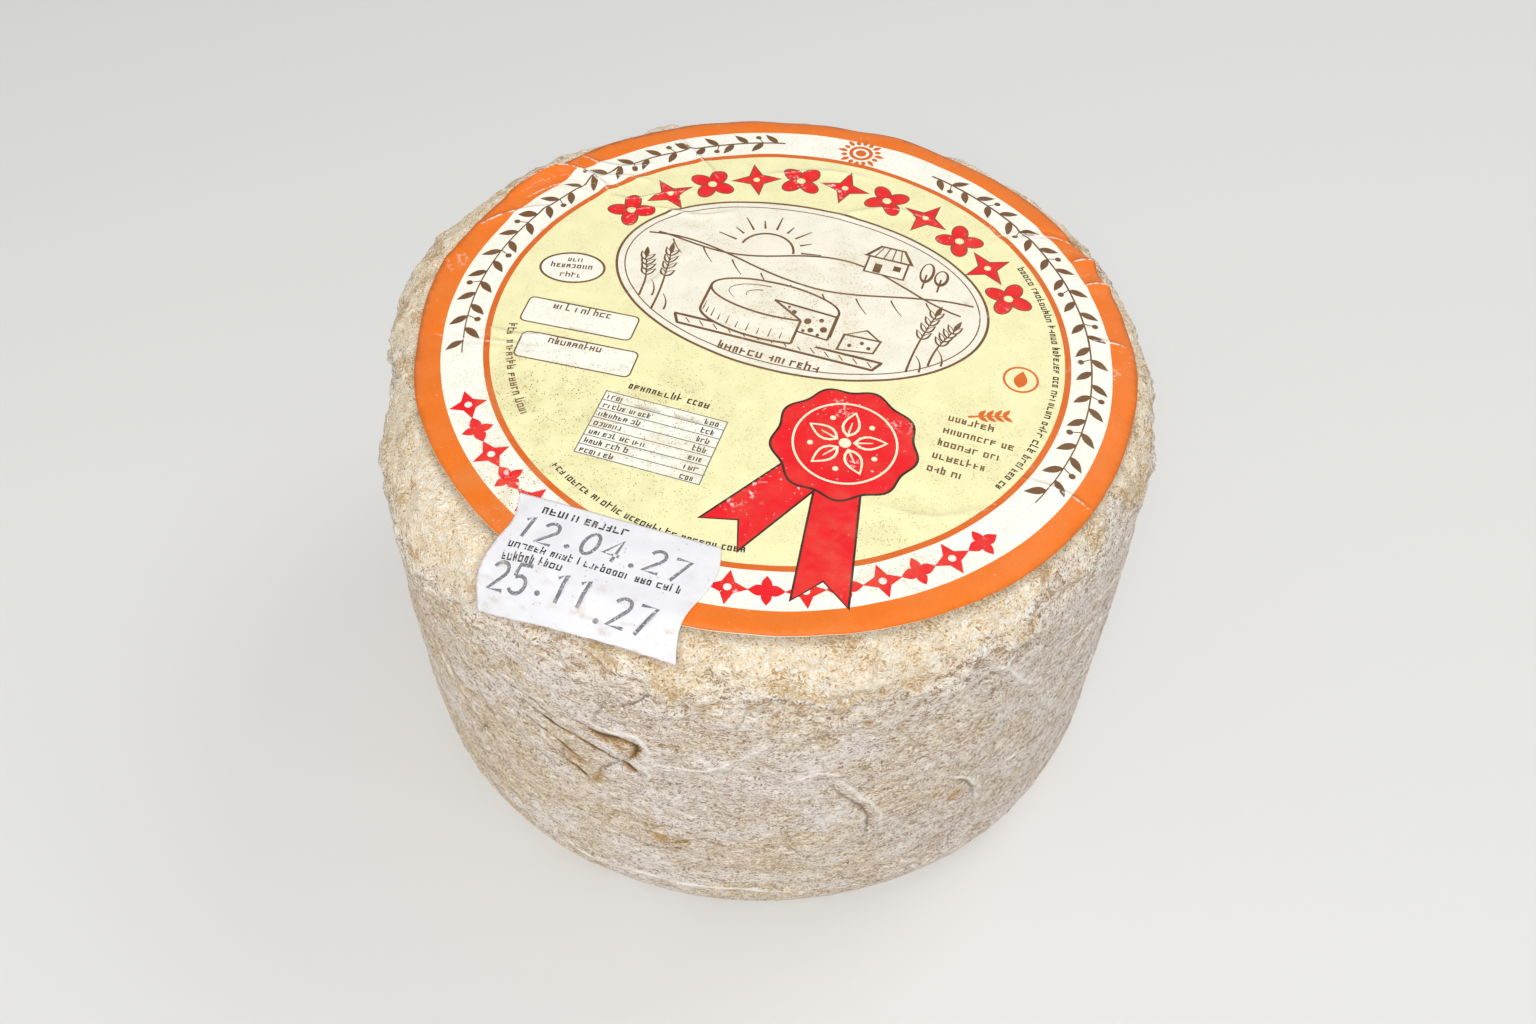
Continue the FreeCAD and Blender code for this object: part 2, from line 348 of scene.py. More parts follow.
def rind_relief(points, way, papered):
    """How far the rind stands off the plain skin, and its masks, at points of the skin."""
    height = points[:, 2]
    flat = points * (1, 1, 2.8)
    upright = points * (1, 1, 0)
    upper = height > wheel_height / 2
    broad = grain(points, 16 * mm, 11)
    lumps = grain(points, 5.5 * mm, 12)
    threads = grain(flat, 3.6 * mm, 13)
    fine = grain(flat, 2 * mm, 14)

    # The dry crust of the shoulder ends in a ragged ledge a little way down the side, with
    # flakes above and below it.  Each flake is sharp at its lower edge and fades upward.
    edge = np.full(len(points), wheel_height - crust_depth)
    for size, places, lump, seed in ((2.4, upright, 24, 15), (2.2, upright, 11, 19),
                                     (2.6, points * (1, 1, 0.4), 7, 16), (1.6, points, 2.8, 17)):
        edge += size * mm * grain(places, lump * mm, seed)
    edge += 3.4 * mm * hump(wrapped(way - sticker_way), math.radians(11))
    strength = 0.5 + 0.5 * smooth_step(-0.3, 0.5, grain(upright, 17 * mm, 18))
    crust = smooth_step(-0.35 * mm, 0.35 * mm, height - edge) * upper
    flaked = 0.46 * strength * crust
    below, lip_highlight = np.zeros((2, len(points)))
    for number, (drop, share) in enumerate(flake_lines):
        own, there = edge, strength
        if drop:
            own = edge - drop * mm + 2.2 * mm * grain(flat, 5.5 * mm, 40 + number)
            own += 0.9 * mm * grain(points, 1.9 * mm, 50 + number)
            there = smooth_step(-0.15, 0.35, grain(upright, 8 * mm, 60 + number))
        there = there * share * upper
        rise = height - own
        flaked += (0.68 * there * smooth_step(-0.25 * mm, 0.25 * mm, rise)
                   * np.exp(-np.maximum(rise, 0) / (2.4 * mm)))
        # Just under each flake's lower edge goes its painted shade, and just above it, along its rim, a
        # painted highlight.
        below = np.maximum(below, there * hump(rise + 0.5 * mm, 0.55 * mm))
        lip_highlight = np.maximum(lip_highlight, there * hump(rise - 0.5 * mm, 0.6 * mm))
    pits = smooth_step(0.32, 0.62, grain(points, 2.4 * mm, 20))
    flakes = smooth_step(-0.04, 0.1, grain(points, 4.6 * mm, 21) + 0.35 * fine)

    # Low plates with sharper edges, as dried skin lies in overlapping scales.
    plates = smooth_step(-0.06, 0.06, grain(flat, 7.5 * mm, 23) + 0.25 * threads)
    side = 0.2 * broad + 0.12 * lumps + 0.15 * threads + 0.1 * fine + 0.12 * (plates - 0.5)
    top = (0.12 * broad + 0.1 * lumps + 0.1 * grain(points, 2.6 * mm, 22)
           + 0.2 * (flakes - 0.5) - 0.24 * pits)
    rough = side * (1 - crust) + top * crust + flaked - rest_depth
    on_side = smooth_step(2 * mm, 5 * mm, height) * (1 - crust)
    lifted, stained, lines = mark_relief(points, way)
    rough += on_side * lifted / mm
    under = smooth_step(6 * mm, 2 * mm, height)
    rough = rough * (1 - 0.75 * under) - 0.05 * under
    off = rough * papered - paper_depth * (1 - papered)
    return off * mm, {
        "crust gap": np.where(upper, np.clip((height - edge) / mm, -no_crust, no_crust), -no_crust),
        "stain": np.clip(stained * on_side, 0, 1),
        "below": np.clip(below, 0, 1),
        "lip_highlight": np.clip(lip_highlight, 0, 1),
        "ledge": hump(height - edge - 1.2 * mm, 1.8 * mm) * upper,
        "flaky": smooth_step(-7 * mm, -1 * mm, height - edge) * upper,
        "proud": rough - 0.2 * broad - flaked + rest_depth,
        "warm": 0.5 + 0.5 * np.cos(way - math.radians(-160)),
        "groove gap": lines[0, 0],
        "groove": lines[0, 1] * on_side,
        "crease gap": lines[1, 0],
        "crease": lines[1, 1] * on_side,
    }


def laid_flat(points):
    """Points near the skin as places on a flat sheet: as far from the middle as the way over
    the skin is long, in the same direction."""
    out = points[:, :2] - centre
    way = np.arctan2(out[:, 1], out[:, 0])
    column = np.round(way / (2 * np.pi) * skin_columns).astype(int) % skin_columns
    near = skin[:, column]
    row = np.clip(np.linalg.norm(near - points, axis=2).argmin(0), 1, len(skin) - 2)
    step = unit(skin[row + 1, column] - skin[row - 1, column])
    left = points - near[row, np.arange(len(points))]
    arc = skin_arc[row, column] + np.sum(left * step, axis=1)
    return np.stack([arc * np.cos(way), arc * np.sin(way)], 1)


def read(items, what, width=1, kind=float):
    """One property of all the items of a mesh, as an array."""
    found = np.empty(len(items) * width, dtype=kind)
    items.foreach_get(what, found)
    return found.reshape(-1, width) if width > 1 else found


def corners_of(node):
    """The corners of a frame node, laid flat."""
    return laid_flat(read(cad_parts[node].data.vertices, "co", 3))


def shape(name, points, faces, smooth=True):
    """A piece made of points and faces, at the frame's origin."""
    mesh = bpy.data.meshes.new(name)
    mesh.from_pydata(np.asarray(points).tolist(), [], faces)
    mesh.polygons.foreach_set("use_smooth", [smooth] * len(mesh.polygons))
    mesh.update()
    made = bpy.data.objects.new(name, mesh)
    bpy.context.scene.collection.objects.link(made)
    return made


def bake_map(piece, corners):
    """Gives the piece the map its colours are baked to, from a place for each face corner."""
    margin = 0.005
    low = corners.min(0)
    spread = (corners.max(0) - low).max()
    layer = piece.data.uv_layers.new(name="OFBake")
    layer.data.foreach_set("uv", (margin + (1 - 2 * margin) * (corners - low) / spread).ravel())


def mark_points(piece, masks):
    """Gives every point of the piece the values that its material reads."""
    for name, values in masks.items():
        layer = piece.data.attributes.new(name, "FLOAT", "POINT")
        layer.data.foreach_set("value", values.astype(np.float32))


label_radius = np.linalg.norm(corners_of("top_label"), axis=1).max()

rind_columns = 600
crust_step = 0.46 * mm      # rows stand closer on the shoulder, where the crust flakes
side_step = 0.8 * mm
foot_step = 3 * mm
foot_height = 0.3 * mm
hidden_arcs = [20 * mm, 36 * mm, 48 * mm]        # rows under the label, which lie deeper
hidden_depth = 0.5 * mm
side_from = label_radius + 21 * mm
mean_arc = skin_arc.mean(1)
foot_arc = mean_arc[np.argmax(skin[:, :, 2].mean(1) < foot_height)]
rind_arcs = np.concatenate([
    hidden_arcs,
    np.arange(label_radius - 4 * mm, side_from, crust_step),
    np.linspace(side_from, foot_arc, int((foot_arc - side_from) / side_step)),
    np.arange(foot_arc + 1.2 * mm, mean_arc[-1] - foot_step, foot_step),
])


def paper_gaps(points):
    """How far points of the rind are from the papers, up to far."""
    far = 5 * mm
    below_papers = 0.7 * wheel_height
    papers = [faces_of("top_label"), faces_of("date_sticker")]
    gaps = np.full(len(points), far)
    for i in np.nonzero(points[:, 2] > below_papers)[0]:
        found = [tree.find_nearest(points[i], far)[3] for tree in papers]
        gaps[i] = min([far] + [gap for gap in found if gap is not None])
    return gaps


def make_rind():
    """The rind: rows of points over the skin, moved by the relief, and closed at both ends."""
    rows = np.interp(rind_arcs, mean_arc, np.arange(len(skin)))
    ways = 2 * np.pi * np.arange(rind_columns) / rind_columns
    row, way = (v.ravel() for v in np.meshgrid(rows, ways, indexing="ij"))
    column = way / (2 * np.pi) * skin_columns
    points = between(skin, row, column)
    out = unit(between(skin_out, row, column))

    # Under the papers the rind is pressed smooth and lies a little lower.
    gaps = paper_gaps(points)
    off, masks = rind_relief(points, way, smooth_step(0.35 * mm, 1.6 * mm, gaps))
    # Close beside the papers the rind's colour takes painted shade, with some dirt.
    masks["beside paper"] = smooth_step(1.5 * mm, 0.3 * mm, gaps)
    off[:len(hidden_arcs) * rind_columns] -= hidden_depth
    points = points + out * off[:, None]
    points[:, 2] = np.maximum(points[:, 2], 0)

    # The side is mapped in three strips, and the two round caps beside them.
    strip_gap = 3 * mm
    thirds = rind_columns // 3
    around = 2 * np.pi * wheel_radius / 3
    down = rind_arcs - rind_arcs[0]
    r, c = np.indices((len(rows) - 1, rind_columns)).reshape(2, -1)
    here, below = r * rind_columns, (r + 1) * rind_columns
    after = (c + 1) % rind_columns
    faces = np.stack([here + c, below + c, below + after, here + after], 1).tolist()
    strip, along = np.divmod(c, thirds)
    shift = strip * (down[-1] + strip_gap)
    low, high = along / thirds * around, (along + 1) / thirds * around
    near, far = shift + down[r], shift + down[r + 1]
    strips = np.stack([near, low, far, low, far, high, near, high], 1).reshape(-1, 2)
    cap_size = 12 * mm
    cap_room = 14 * mm
    top = len(points)
    last = top - rind_columns
    points = np.vstack([points, (*centre, wheel_height - 1.5 * mm), (*centre, 0)])
    for c in range(rind_columns):
        after = (c + 1) % rind_columns
        faces += [(top, c, after), (top + 1, last + after, last + c)]
    angle = ways[:, None] + 2 * np.pi / rind_columns * np.array([0, 0, 1])
    out = cap_size * np.array([0, 1, 1])
    caps = np.stack([np.stack([place * cap_room + out * np.cos(angle),
                               around + cap_room + out * np.sin(angle) * (2 - place)], -1)
                     for place in (1, 3)], 1).reshape(-1, 2)
    piece = shape("rind", points, faces)
    bake_map(piece, np.vstack([strips, caps]))
    mark_points(piece, {name: np.append(values, [0, 0]) for name, values in masks.items()})
    return piece


rind = make_rind()
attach(rind, "root")
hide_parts("cheese_wheel")


def paint(red, green, blue):
    """A colour given as it looks on a screen, as the shaders take it."""
    linear = [v / 12.92 if v <= 0.04045 else ((v + 0.055) / 1.055) ** 2.4
              for v in (red / 255, green / 255, blue / 255)]
    return (*linear, 1)


def add(tree, kind, inputs=None, **settings):
    """Adds a shader node, sets it, and gives its inputs values or links."""
    made = tree.nodes.new(kind)
    for name, value in settings.items():
        setattr(made, name, value)
    for key, value in (inputs or {}).items():
        feed(made.inputs[key], value)
    return made


def feed(socket, value):
    """Gives an input a plain value, or links it to another node's socket or Value."""
    value = getattr(value, "socket", value)
    if isinstance(value, bpy.types.NodeSocket):
        socket.id_data.links.new(value, socket)
    else:
        socket.default_value = value


class Value:
    """A number or a colour that a shader works out.  Each step adds the node that does it."""

    def __init__(self, socket):
        self.socket = socket
        self.tree = socket.id_data

    def take(self, how, other=0.0, clamp=False):
        """One sum, by the name of its math node's operation."""
        return Value(add(self.tree, "ShaderNodeMath", {0: self, 1: other}, operation=how,
                         use_clamp=clamp).outputs[0])

    def __add__(self, other):
        return self.take("ADD", other)

    def __sub__(self, other):
        return self.take("SUBTRACT", other)

    def __mul__(self, other):
        return self.take("MULTIPLY", other)

    def __abs__(self):
        return self.take("ABSOLUTE")

    def ramp(self, low, high):
        """0 to 1 as the value goes from low to high."""
        made = add(self.tree, "ShaderNodeMapRange", {"Value": self, "From Min": low, "From Max": high},
                   interpolation_type="SMOOTHSTEP")
        return Value(made.outputs["Result"])

    def tint(self, low, high):
        """Two colours mixed by this share."""
        made = add(self.tree, "ShaderNodeMix", {0: self, 6: low, 7: high}, data_type="RGBA",
                   clamp_factor=True)
        return Value(made.outputs[2])


def coats(colour, *over):
    """A colour with others laid over it, each given as its share and itself."""
    for share, coat in over:
        colour = share.tint(colour, coat)
    return colour


def noise(place, size, detail=2.0, flat=1.0, shift=0.0):
    """Cloudy values 0 to 1, in lumps about size across, flattened upward by flat."""
    tree = place.tree
    moved = add(tree, "ShaderNodeMapping", {"Vector": place, "Location": (shift, shift, -shift),
                                           "Scale": (1, 1, flat)})
    made = add(tree, "ShaderNodeTexNoise", {"Vector": moved.outputs[0], "Scale": 1 / size,
                                            "Detail": detail, "Roughness": 0.55})
    return Value(made.outputs["Fac"])


def new_material(name, roughness, shine):
    """A material with its main shader set, and the places on the piece."""
    made = bpy.data.materials.new(name)
    made.use_nodes = True
    inputs = made.node_tree.nodes["Principled BSDF"].inputs
    inputs["Roughness"].default_value = roughness
    inputs["Specular IOR Level"].default_value = shine
    place = Value(add(made.node_tree, "ShaderNodeTexCoord").outputs["Object"])
    return made, place


def mask(tree, name):
    """The values kept at the points of the piece under a name."""
    return Value(add(tree, "ShaderNodeAttribute", attribute_name=name).outputs["Fac"])


def surface(made, colour, relief, strength, depth):
    """Gives a material its colour and its fine relief."""
    tree = made.node_tree
    bump = add(tree, "ShaderNodeBump", {"Strength": strength, "Distance": depth, "Height": relief})
    inputs = tree.nodes["Principled BSDF"].inputs
    feed(inputs["Base Color"], colour)
    feed(inputs["Normal"], bump.outputs[0])
    return made


side_grey = paint(233, 215, 202)
side_frost = paint(248, 236, 227)
side_pale = paint(255, 249, 240)
side_dark = paint(156, 133, 111)
side_warm = paint(230, 203, 160)
side_ochre = paint(204, 170, 112)
side_crack = paint(134, 112, 88)
crust_cream = paint(248, 226, 190)
crust_pale = paint(255, 249, 235)
crust_tan = paint(186, 148, 104)
crust_patch = paint(222, 190, 144)
speck_brown = paint(132, 102, 70)
stain_ochre = paint(204, 162, 96)
stain_rust = paint(176, 128, 66)
stain_dark = paint(104, 80, 54)


def rind_material():
    made, place = new_material("dry cheese rind", 0.88, 0.25)
    tree = made.node_tree
    flaky, lip_highlight, ledge, warm, proud = (mask(tree, name) for name in ("flaky", "lip_highlight", "ledge", "warm", "proud"))

    # Everything fine follows a place that wanders a little, so that no line runs straight.
    drift_size = 3.5 * mm
    drift_reach = 2.6 * mm
    drift = add(tree, "ShaderNodeTexNoise", {"Vector": place, "Scale": 1 / drift_size, "Detail": 2})
    centred = add(tree, "ShaderNodeVectorMath", {0: drift.outputs["Color"], 1: (0.5, 0.5, 0.5)},
                  operation="SUBTRACT")
    pushed = add(tree, "ShaderNodeVectorMath", {0: centred.outputs[0], 1: (drift_reach,) * 3},
                 operation="MULTIPLY")
    wandering = Value(add(tree, "ShaderNodeVectorMath", {0: place, 1: pushed.outputs[0]}).outputs[0])

    broad = noise(place, 26 * mm, 3, 1.2)
    clouds = noise(place, 6 * mm, 4, 1.4, 0.9)
    threads = noise(wandering, 1.4 * mm, 6, 1.9, 0.3)
    fine = noise(wandering, 0.4 * mm, 3, 2, 0.6)
    fold = abs(noise(wandering, 3.2 * mm, 2, 3, 0.5) - 0.5)
    wisp = abs(noise(wandering, 1.1 * mm, 3, 1.3, 0.45) - 0.5)
    wisp = wisp.ramp(0.03, 0) * fine.ramp(0.42, 0.6)
    crack = abs(noise(wandering, 2.4 * mm, 2, 2.6, 0.8) - 0.52)
    crack = crack.ramp(0.016, 0) * clouds.ramp(0.46, 0.6)
    frost = noise(wandering, 13 * mm, 4, 1.4, 0.62)
    smear = noise(wandering, 9 * mm, 5, 1.3, 0.15)
    ragged = mask(tree, "crust gap") + (clouds - 0.55) * 16 + (threads - 0.5) * 7 + (fine - 0.5) * 5

    # The middles of the grooves and the creases, as fine broken lines.
    def drawn(name, half_width):
        raggedness = 1.6
        gap = abs(mask(tree, name + " gap") + (fine - 0.5) * raggedness)
        return gap.ramp(half_width, 0.25 * half_width).take("MULTIPLY", mask(tree, name), clamp=True)

    groove = drawn("groove", 0.4)
    crease = drawn("crease", 0.5)

    # One value from deep to proud, which both the colours and the relief follow. It holds the
    # rind's own grain and, through proud, the height of its relief, so its pale and dark are partly
    # painted highlight on what stands proud and painted shade in the hollows.
    tone = ((threads - 0.5) * 1.8 + (fine - 0.5) * 3.1 + wisp * 0.36 + fold.ramp(0.02, 0) * 0.22
            + proud * 0.5) * warm.ramp(3.4, 0)

    # The side: grey beige, paler on what stands proud, warmer and darker in between. The pale
    # and dark follow the tone: partly the rind's own grain, partly painted highlight and painted
    # shade of its relief.
    warmth = broad + (warm - 0.5) * 0.36
    side = coats(
        side_grey,
        (warmth.ramp(0.46, 0.66) * 0.75, side_warm),
        (frost.ramp(0.47, 0.6) * 0.9, side_frost),
        (clouds.ramp(0.54, 0.7) * 0.75, side_warm),
        (smear.ramp(0.58, 0.72) * 0.5, side_ochre),
        (flaky * 0.3, crust_cream),
        # along the flakes' rims, a painted highlight
        (lip_highlight * 0.75, crust_pale),
        (tone.ramp(0, 0.42), side_pale),
        (tone.ramp(-0.02, -0.42), side_dark),
        (crack * 0.6, side_crack),
        (crease, side_pale),
        (groove * 0.75, side_crack))

    # The crust of the shoulder: cream, stippled with tan, in patches. Its pale and its tan follow
    # the tone too, so they are partly painted highlight and painted shade of the relief.
    rusty = clouds + ledge * 0.13 + (threads - 0.5) * 0.3 - (fine - 0.5) * 0.4
    patch = rusty.ramp(0.56, 0.68)
    top_tone = tone - patch * 0.2
    top = coats(
        crust_cream,
        (patch * 0.85, crust_patch),
        (top_tone.ramp(0, 0.36), crust_pale),
        (top_tone.ramp(-0.14, -0.6) * 0.85, crust_tan),
        (fine.ramp(0.36, 0.29) * 0.5, speck_brown),
        # along the flakes' rims, a painted highlight
        (lip_highlight * 0.5, crust_pale))

    # Both together, with the shade under the flakes and beside the papers, and the stains.
    stain = mask(tree, "stain") * 2 - (threads * 0.9 + fine * 1.1)
    stain = stain.ramp(-0.1, 0.6) * 0.85
    old = coats(fine.ramp(0.52, 0.4).tint(stain_ochre, stain_rust), (proud.ramp(-0.1, -0.45), stain_dark))
    both = coats(
        ragged.ramp(-1.6, 1.6).tint(side, top),
        (mask(tree, "below") * threads.ramp(0.62, 0.42) * 0.8, crust_tan),
        (mask(tree, "beside paper") * 0.42, side_dark),
        (stain, old),
        (groove * stain.ramp(0.05, 0.5), stain_dark))
    relief = tone - crack * 0.5 + crease * 0.9 - groove * 1.1
    return surface(made, both, relief, 0.75, 0.3 * mm)


rind.data.materials.append(rind_material())


# ======================================================================================
# The round label
# A disc of printed paper that sticks to the top and just turns over the shoulder.  Its
# inks are flat colours with line art; the paper has cockled, with one pleat, and the
# damp of the store has left brown specks of mould in it.
# ======================================================================================

arc_step = 0.5 * mm
arcs = np.arange(int(skin_arc[-1].min() / arc_step)) * arc_step


def even_table(table):
    """A table of rows again, with its rows arc_step apart over the skin in each direction."""
    made = np.zeros((len(arcs), skin_columns, 3))
    for column, axis in np.ndindex(skin_columns, 3):
        made[:, column, axis] = np.interp(arcs, skin_arc[:, column], table[:, column, axis])
    return made


even_skin = even_table(skin)
even_out = even_table(skin_out)


def on_skin(flat, off):
    """Where places of a flat sheet come to lie on the skin, off away from it, all given in
    millimetres."""
    flat = flat * mm
    row = np.linalg.norm(flat, axis=1) / arc_step
    column = np.arctan2(flat[:, 1], flat[:, 0]) / (2 * np.pi) * skin_columns
    out = unit(between(even_out, row, column))
    return between(even_skin, row, column) + out * (off * mm)[:, None]


# The print, in millimetres about the label's middle and upright.  Each shape is an ink
# and an outline, and later shapes cover earlier ones.
drawn_on = label_shapes = []


def put(ink, outline):
    """Adds a shape to the print of the paper in hand."""
    drawn_on.append((ink, np.array(outline, dtype=float)))


def placed(u, v, x=0.0, y=0.0, turn=0.0):
    """Places u along and v up, turned, and moved to a point."""
    c, s = math.cos(turn), math.sin(turn)
    return np.stack([x + u * c - v * s, y + u * s + v * c], 1)


def turned(places, angle):
    """Places turned about the middle."""
    return placed(*places.T, turn=angle)


def away(x, y, angle, out):
    """The point that lies out from another in a direction."""
    return x + out * math.cos(angle), y + out * math.sin(angle)


def oval(x, y, wide, high=None, turn=0.0, points=None):
    """The outline of an ellipse of half axes wide and high, or of a circle."""
    high = high or wide
    points = points or int(max(10, min(160, 8 * math.sqrt(max(wide, high)) * 2)))
    t = 2 * np.pi * np.arange(points) / points
    return placed(wide * np.cos(t), high * np.sin(t), x, y, turn)


def line(points, width, tip=None):
    """The outline of a pen stroke along points; with a tip, its end thins to that width."""
    points = np.array(points, dtype=float)
    ahead = np.gradient(points, axis=0)
    ahead /= np.maximum(np.linalg.norm(ahead, axis=1, keepdims=True), 1e-9)
    side = np.stack([-ahead[:, 1], ahead[:, 0]], 1)
    widths = np.linspace(width, tip or width, len(points))[:, None] / 2
    return np.vstack([points + side * widths, (points - side * widths)[::-1]])


def sweep(x, y, radius, first, last, high=None, count=None):
    """Points along an arc of a circle or an ellipse, from one direction to another."""
    count = count or max(4, int(abs(last - first) * radius / 60) + 3)
    t = np.radians(np.linspace(first, last, count))
    return np.stack([x + radius * np.cos(t), y + (high or radius) * np.sin(t)], 1)


def leaf(x, y, length, width, turn):
    """The outline of a pointed leaf that starts at a point."""
    t = np.linspace(0, 1, 7)
    half = width / 2 * np.sin(np.pi * t ** 0.8)
    return placed(np.append(t * length, (t * length)[-2:0:-1]), np.append(half, -half[-2:0:-1]), x, y, turn)


def star(x, y, outer, inner, points, turn):
    """The outline of a star, its points at outer and the notches between them at inner."""
    t = turn + np.pi * np.arange(2 * points) / points
    r = np.where(np.arange(2 * points) % 2 == 0, outer, inner)
    return np.stack([x + r * np.cos(t), y + r * np.sin(t)], 1)


def block(x, y, wide, high, turn=0.0, round_off=0.0):
    """The outline of a box about its middle, with rounded corners if asked."""
    corners = []
    for sx, sy, first in ((1, 1, 0), (-1, 1, 90), (-1, -1, 180), (1, -1, 270)):
        corner = (sx * (wide / 2 - round_off), sy * (high / 2 - round_off))
        corners += list(sweep(*corner, round_off, first, first + 90, count=4)) if round_off else [corner]
    return placed(*np.array(corners).T, x, y, turn)


def writing(ink, length, high, seed, where):
    """A row of small marks in groups, as close print looks from afar.  where turns distances
    along the row and heights above it into places."""
    random = np.random.default_rng(seed)
    pen = 0.17 * high
    body = 0.7 * high

    def bar(left, right, low, top):
        put(ink, where(np.array([left, right, right, left]), np.array([low, low, top, top])))

    at = 0
    while at < length - high:
        for letter in range(random.integers(3, 10)):
            wide = high * random.uniform(0.4, 0.6)
            if at + wide > length:
                break
            left_stem, right_stem, head, foot, middle, tall = random.random(6) < (
                0.85, 0.6, 0.6, 0.55, 0.35, 0.22)
            if left_stem or not right_stem:
                bar(at, at + pen, 0, high if tall else body)
            if right_stem:
                bar(at + wide - pen, at + wide, 0, body)
            if head:
                bar(at, at + wide, body - pen, body)
            if foot:
                bar(at, at + wide, 0, pen)
            if middle and not (head and foot and right_stem):
                bar(at, at + 0.9 * wide, 0.42 * body, 0.42 * body + pen)
            at += wide + 0.17 * high
        at += 0.42 * high


def straight(x, y, turn=0.0):
    """A row that starts at a point."""
    return lambda along, up: placed(along, up, x, y, turn)


def bent(radius, start, inward=False):
    """A row round the label; inward stands its marks with their feet outward."""
    def where(along, up):
        way = 1 if inward else -1
        angle = math.radians(start) + way * along / radius
        out = radius - way * up
        return np.stack([out * np.cos(angle), out * np.sin(angle)], 1)

    return where


ring_outer = 53.8        # the white ring, between the orange rim and the thin orange line
ring_inner = 47.2
line_width = 1.0
ring_middle = (ring_outer + ring_inner) / 2


def draw_rings():
    """The coloured ground: an orange rim, a white ring, an orange line, a yellow field."""
    put("orange", oval(0, 0, 60, points=120))
    put("white", oval(0, 0, ring_outer, points=180))
    put("deep orange", oval(0, 0, ring_inner, points=180))
    put("yellow", oval(0, 0, ring_inner - line_width, points=180))


def draw_garland(first, last):
    """A brown stem with leaves and berries round the white ring."""
    leaf_pitch = 3.1
    put("brown", line(sweep(0, 0, ring_middle, first, last), 0.42, 0.2))
    heading = 1 if last > first else -1
    for i in range(int(abs(last - first) / leaf_pitch)):
        angle = math.radians(first + heading * leaf_pitch * (i + 0.5))
        x, y = away(0, 0, angle, ring_middle)
        along = angle + heading * math.pi / 2
        side = 1 if i % 2 else -1
        put("brown", leaf(x, y, 3.5, 1.35, along + side * 0.85))
        if i % 3 == 1:
            put("brown", oval(*away(x, y, along - side * 1.15, 1.9), 0.55, points=10))
            put("brown", line([(x, y), away(x, y, along - side * 1.15, 1.7)], 0.2))


def draw_red_border(first, last):
    """Red lozenges and pairs of petals round the bottom of the white ring."""
    count = int((last - first) / 6.2)
    for i in range(count + 1):
        angle = math.radians(first + (last - first) * i / count)
        x, y = away(0, 0, angle, ring_middle)
        if i % 2 == 0:
            put("red", star(x, y, 3, 1.35, 4, angle))
            put("white", oval(x, y, 0.6, points=10))
        else:
            for side in (-1, 1):
                put("red", leaf(x, y, 2.7, 1.9, angle + side * math.pi / 2))
                put("red", leaf(x, y, 2.5, 1.6, angle + (side - 1) * math.pi / 2))


def draw_sun(x, y):
    """The small orange sun at the top of the white ring."""
    for i in range(16):
        angle = 2 * math.pi * i / 16
        put("deep orange", leaf(*away(x, y, angle, 2.5), 1.3 if i % 2 else 1.9, 0.9, angle))
    for ink, size in (("deep orange", 2.2), ("white", 1.5), ("deep orange", 1)):
        put(ink, oval(x, y, size))


def draw_red_arc():
    """The row of red flowers and scrolls above the picture."""
    count = 11
    for i in range(count):
        angle = math.radians(148 - 116 * i / (count - 1))
        x, y = away(0, 0, angle, 39.6)
        if i % 2 == 0:
            for j in range(4):
                turn = angle + math.pi / 4 + j * math.pi / 2
                put("brown", oval(*away(x, y, turn, 2.1), 2.15, 1.52, turn))
                put("red", oval(*away(x, y, turn, 2.1), 1.93, 1.3, turn))
            put("yellow", oval(x, y, 0.8, points=10))
        else:
            put("brown", star(x, y, 4.6, 1.72, 4, angle))
            put("red", star(x, y, 4.15, 1.44, 4, angle))
            put("yellow", oval(x, y, 0.6, points=10))


def pen(points, width, tip=None):
    """A brown pen stroke."""
    put("brown", line(points, width, tip))


def strokes(width, *ends):
    """Straight brown pen strokes, each from one point to another."""
    for pair in ends:
        pen(pair, width)


def outlined(brown, light):
    """A light shape with a brown edge: both outlines, the larger first."""
    put("brown", brown)
    put("panel", light)


def draw_wheat(x, foot, top, lean):
    """An ear of wheat on its stem."""
    t = np.linspace(0, 1, 9)
    stem = np.stack([x + lean * t ** 2, foot + (top - foot) * t], 1)
    pen(stem, 0.4, 0.25)
    for at_x, at_y in stem[5:]:
        for side in (-1, 1):
            turn = math.pi / 2 - side * 0.55
            outlined(leaf(at_x, at_y - 0.8, 2.5, 1, turn),
                     leaf(at_x + side * 0.12, at_y - 0.45, 1.7, 0.45, turn))
    put("brown", leaf(*stem[8], 2.8, 0.9, math.pi / 2 - 0.12 * lean))
    pen(sweep(x - 2.2, foot + 1, 4.2, -5, 48), 0.38, 0.12)


def draw_panel(x, y, wide, high):
    """The white oval that holds the picture, with a thin second line inside its edge."""
    def ring(inset, points):
        return oval(x, y, wide - inset, high - inset, points=points)

    outlined(ring(0, 110), ring(0.45, 110))
    outer, inner = ring(1.5, 90), ring(1.72, 90)
    put("brown", np.vstack([outer, outer[:1], inner[::-1], inner[-1:]]))


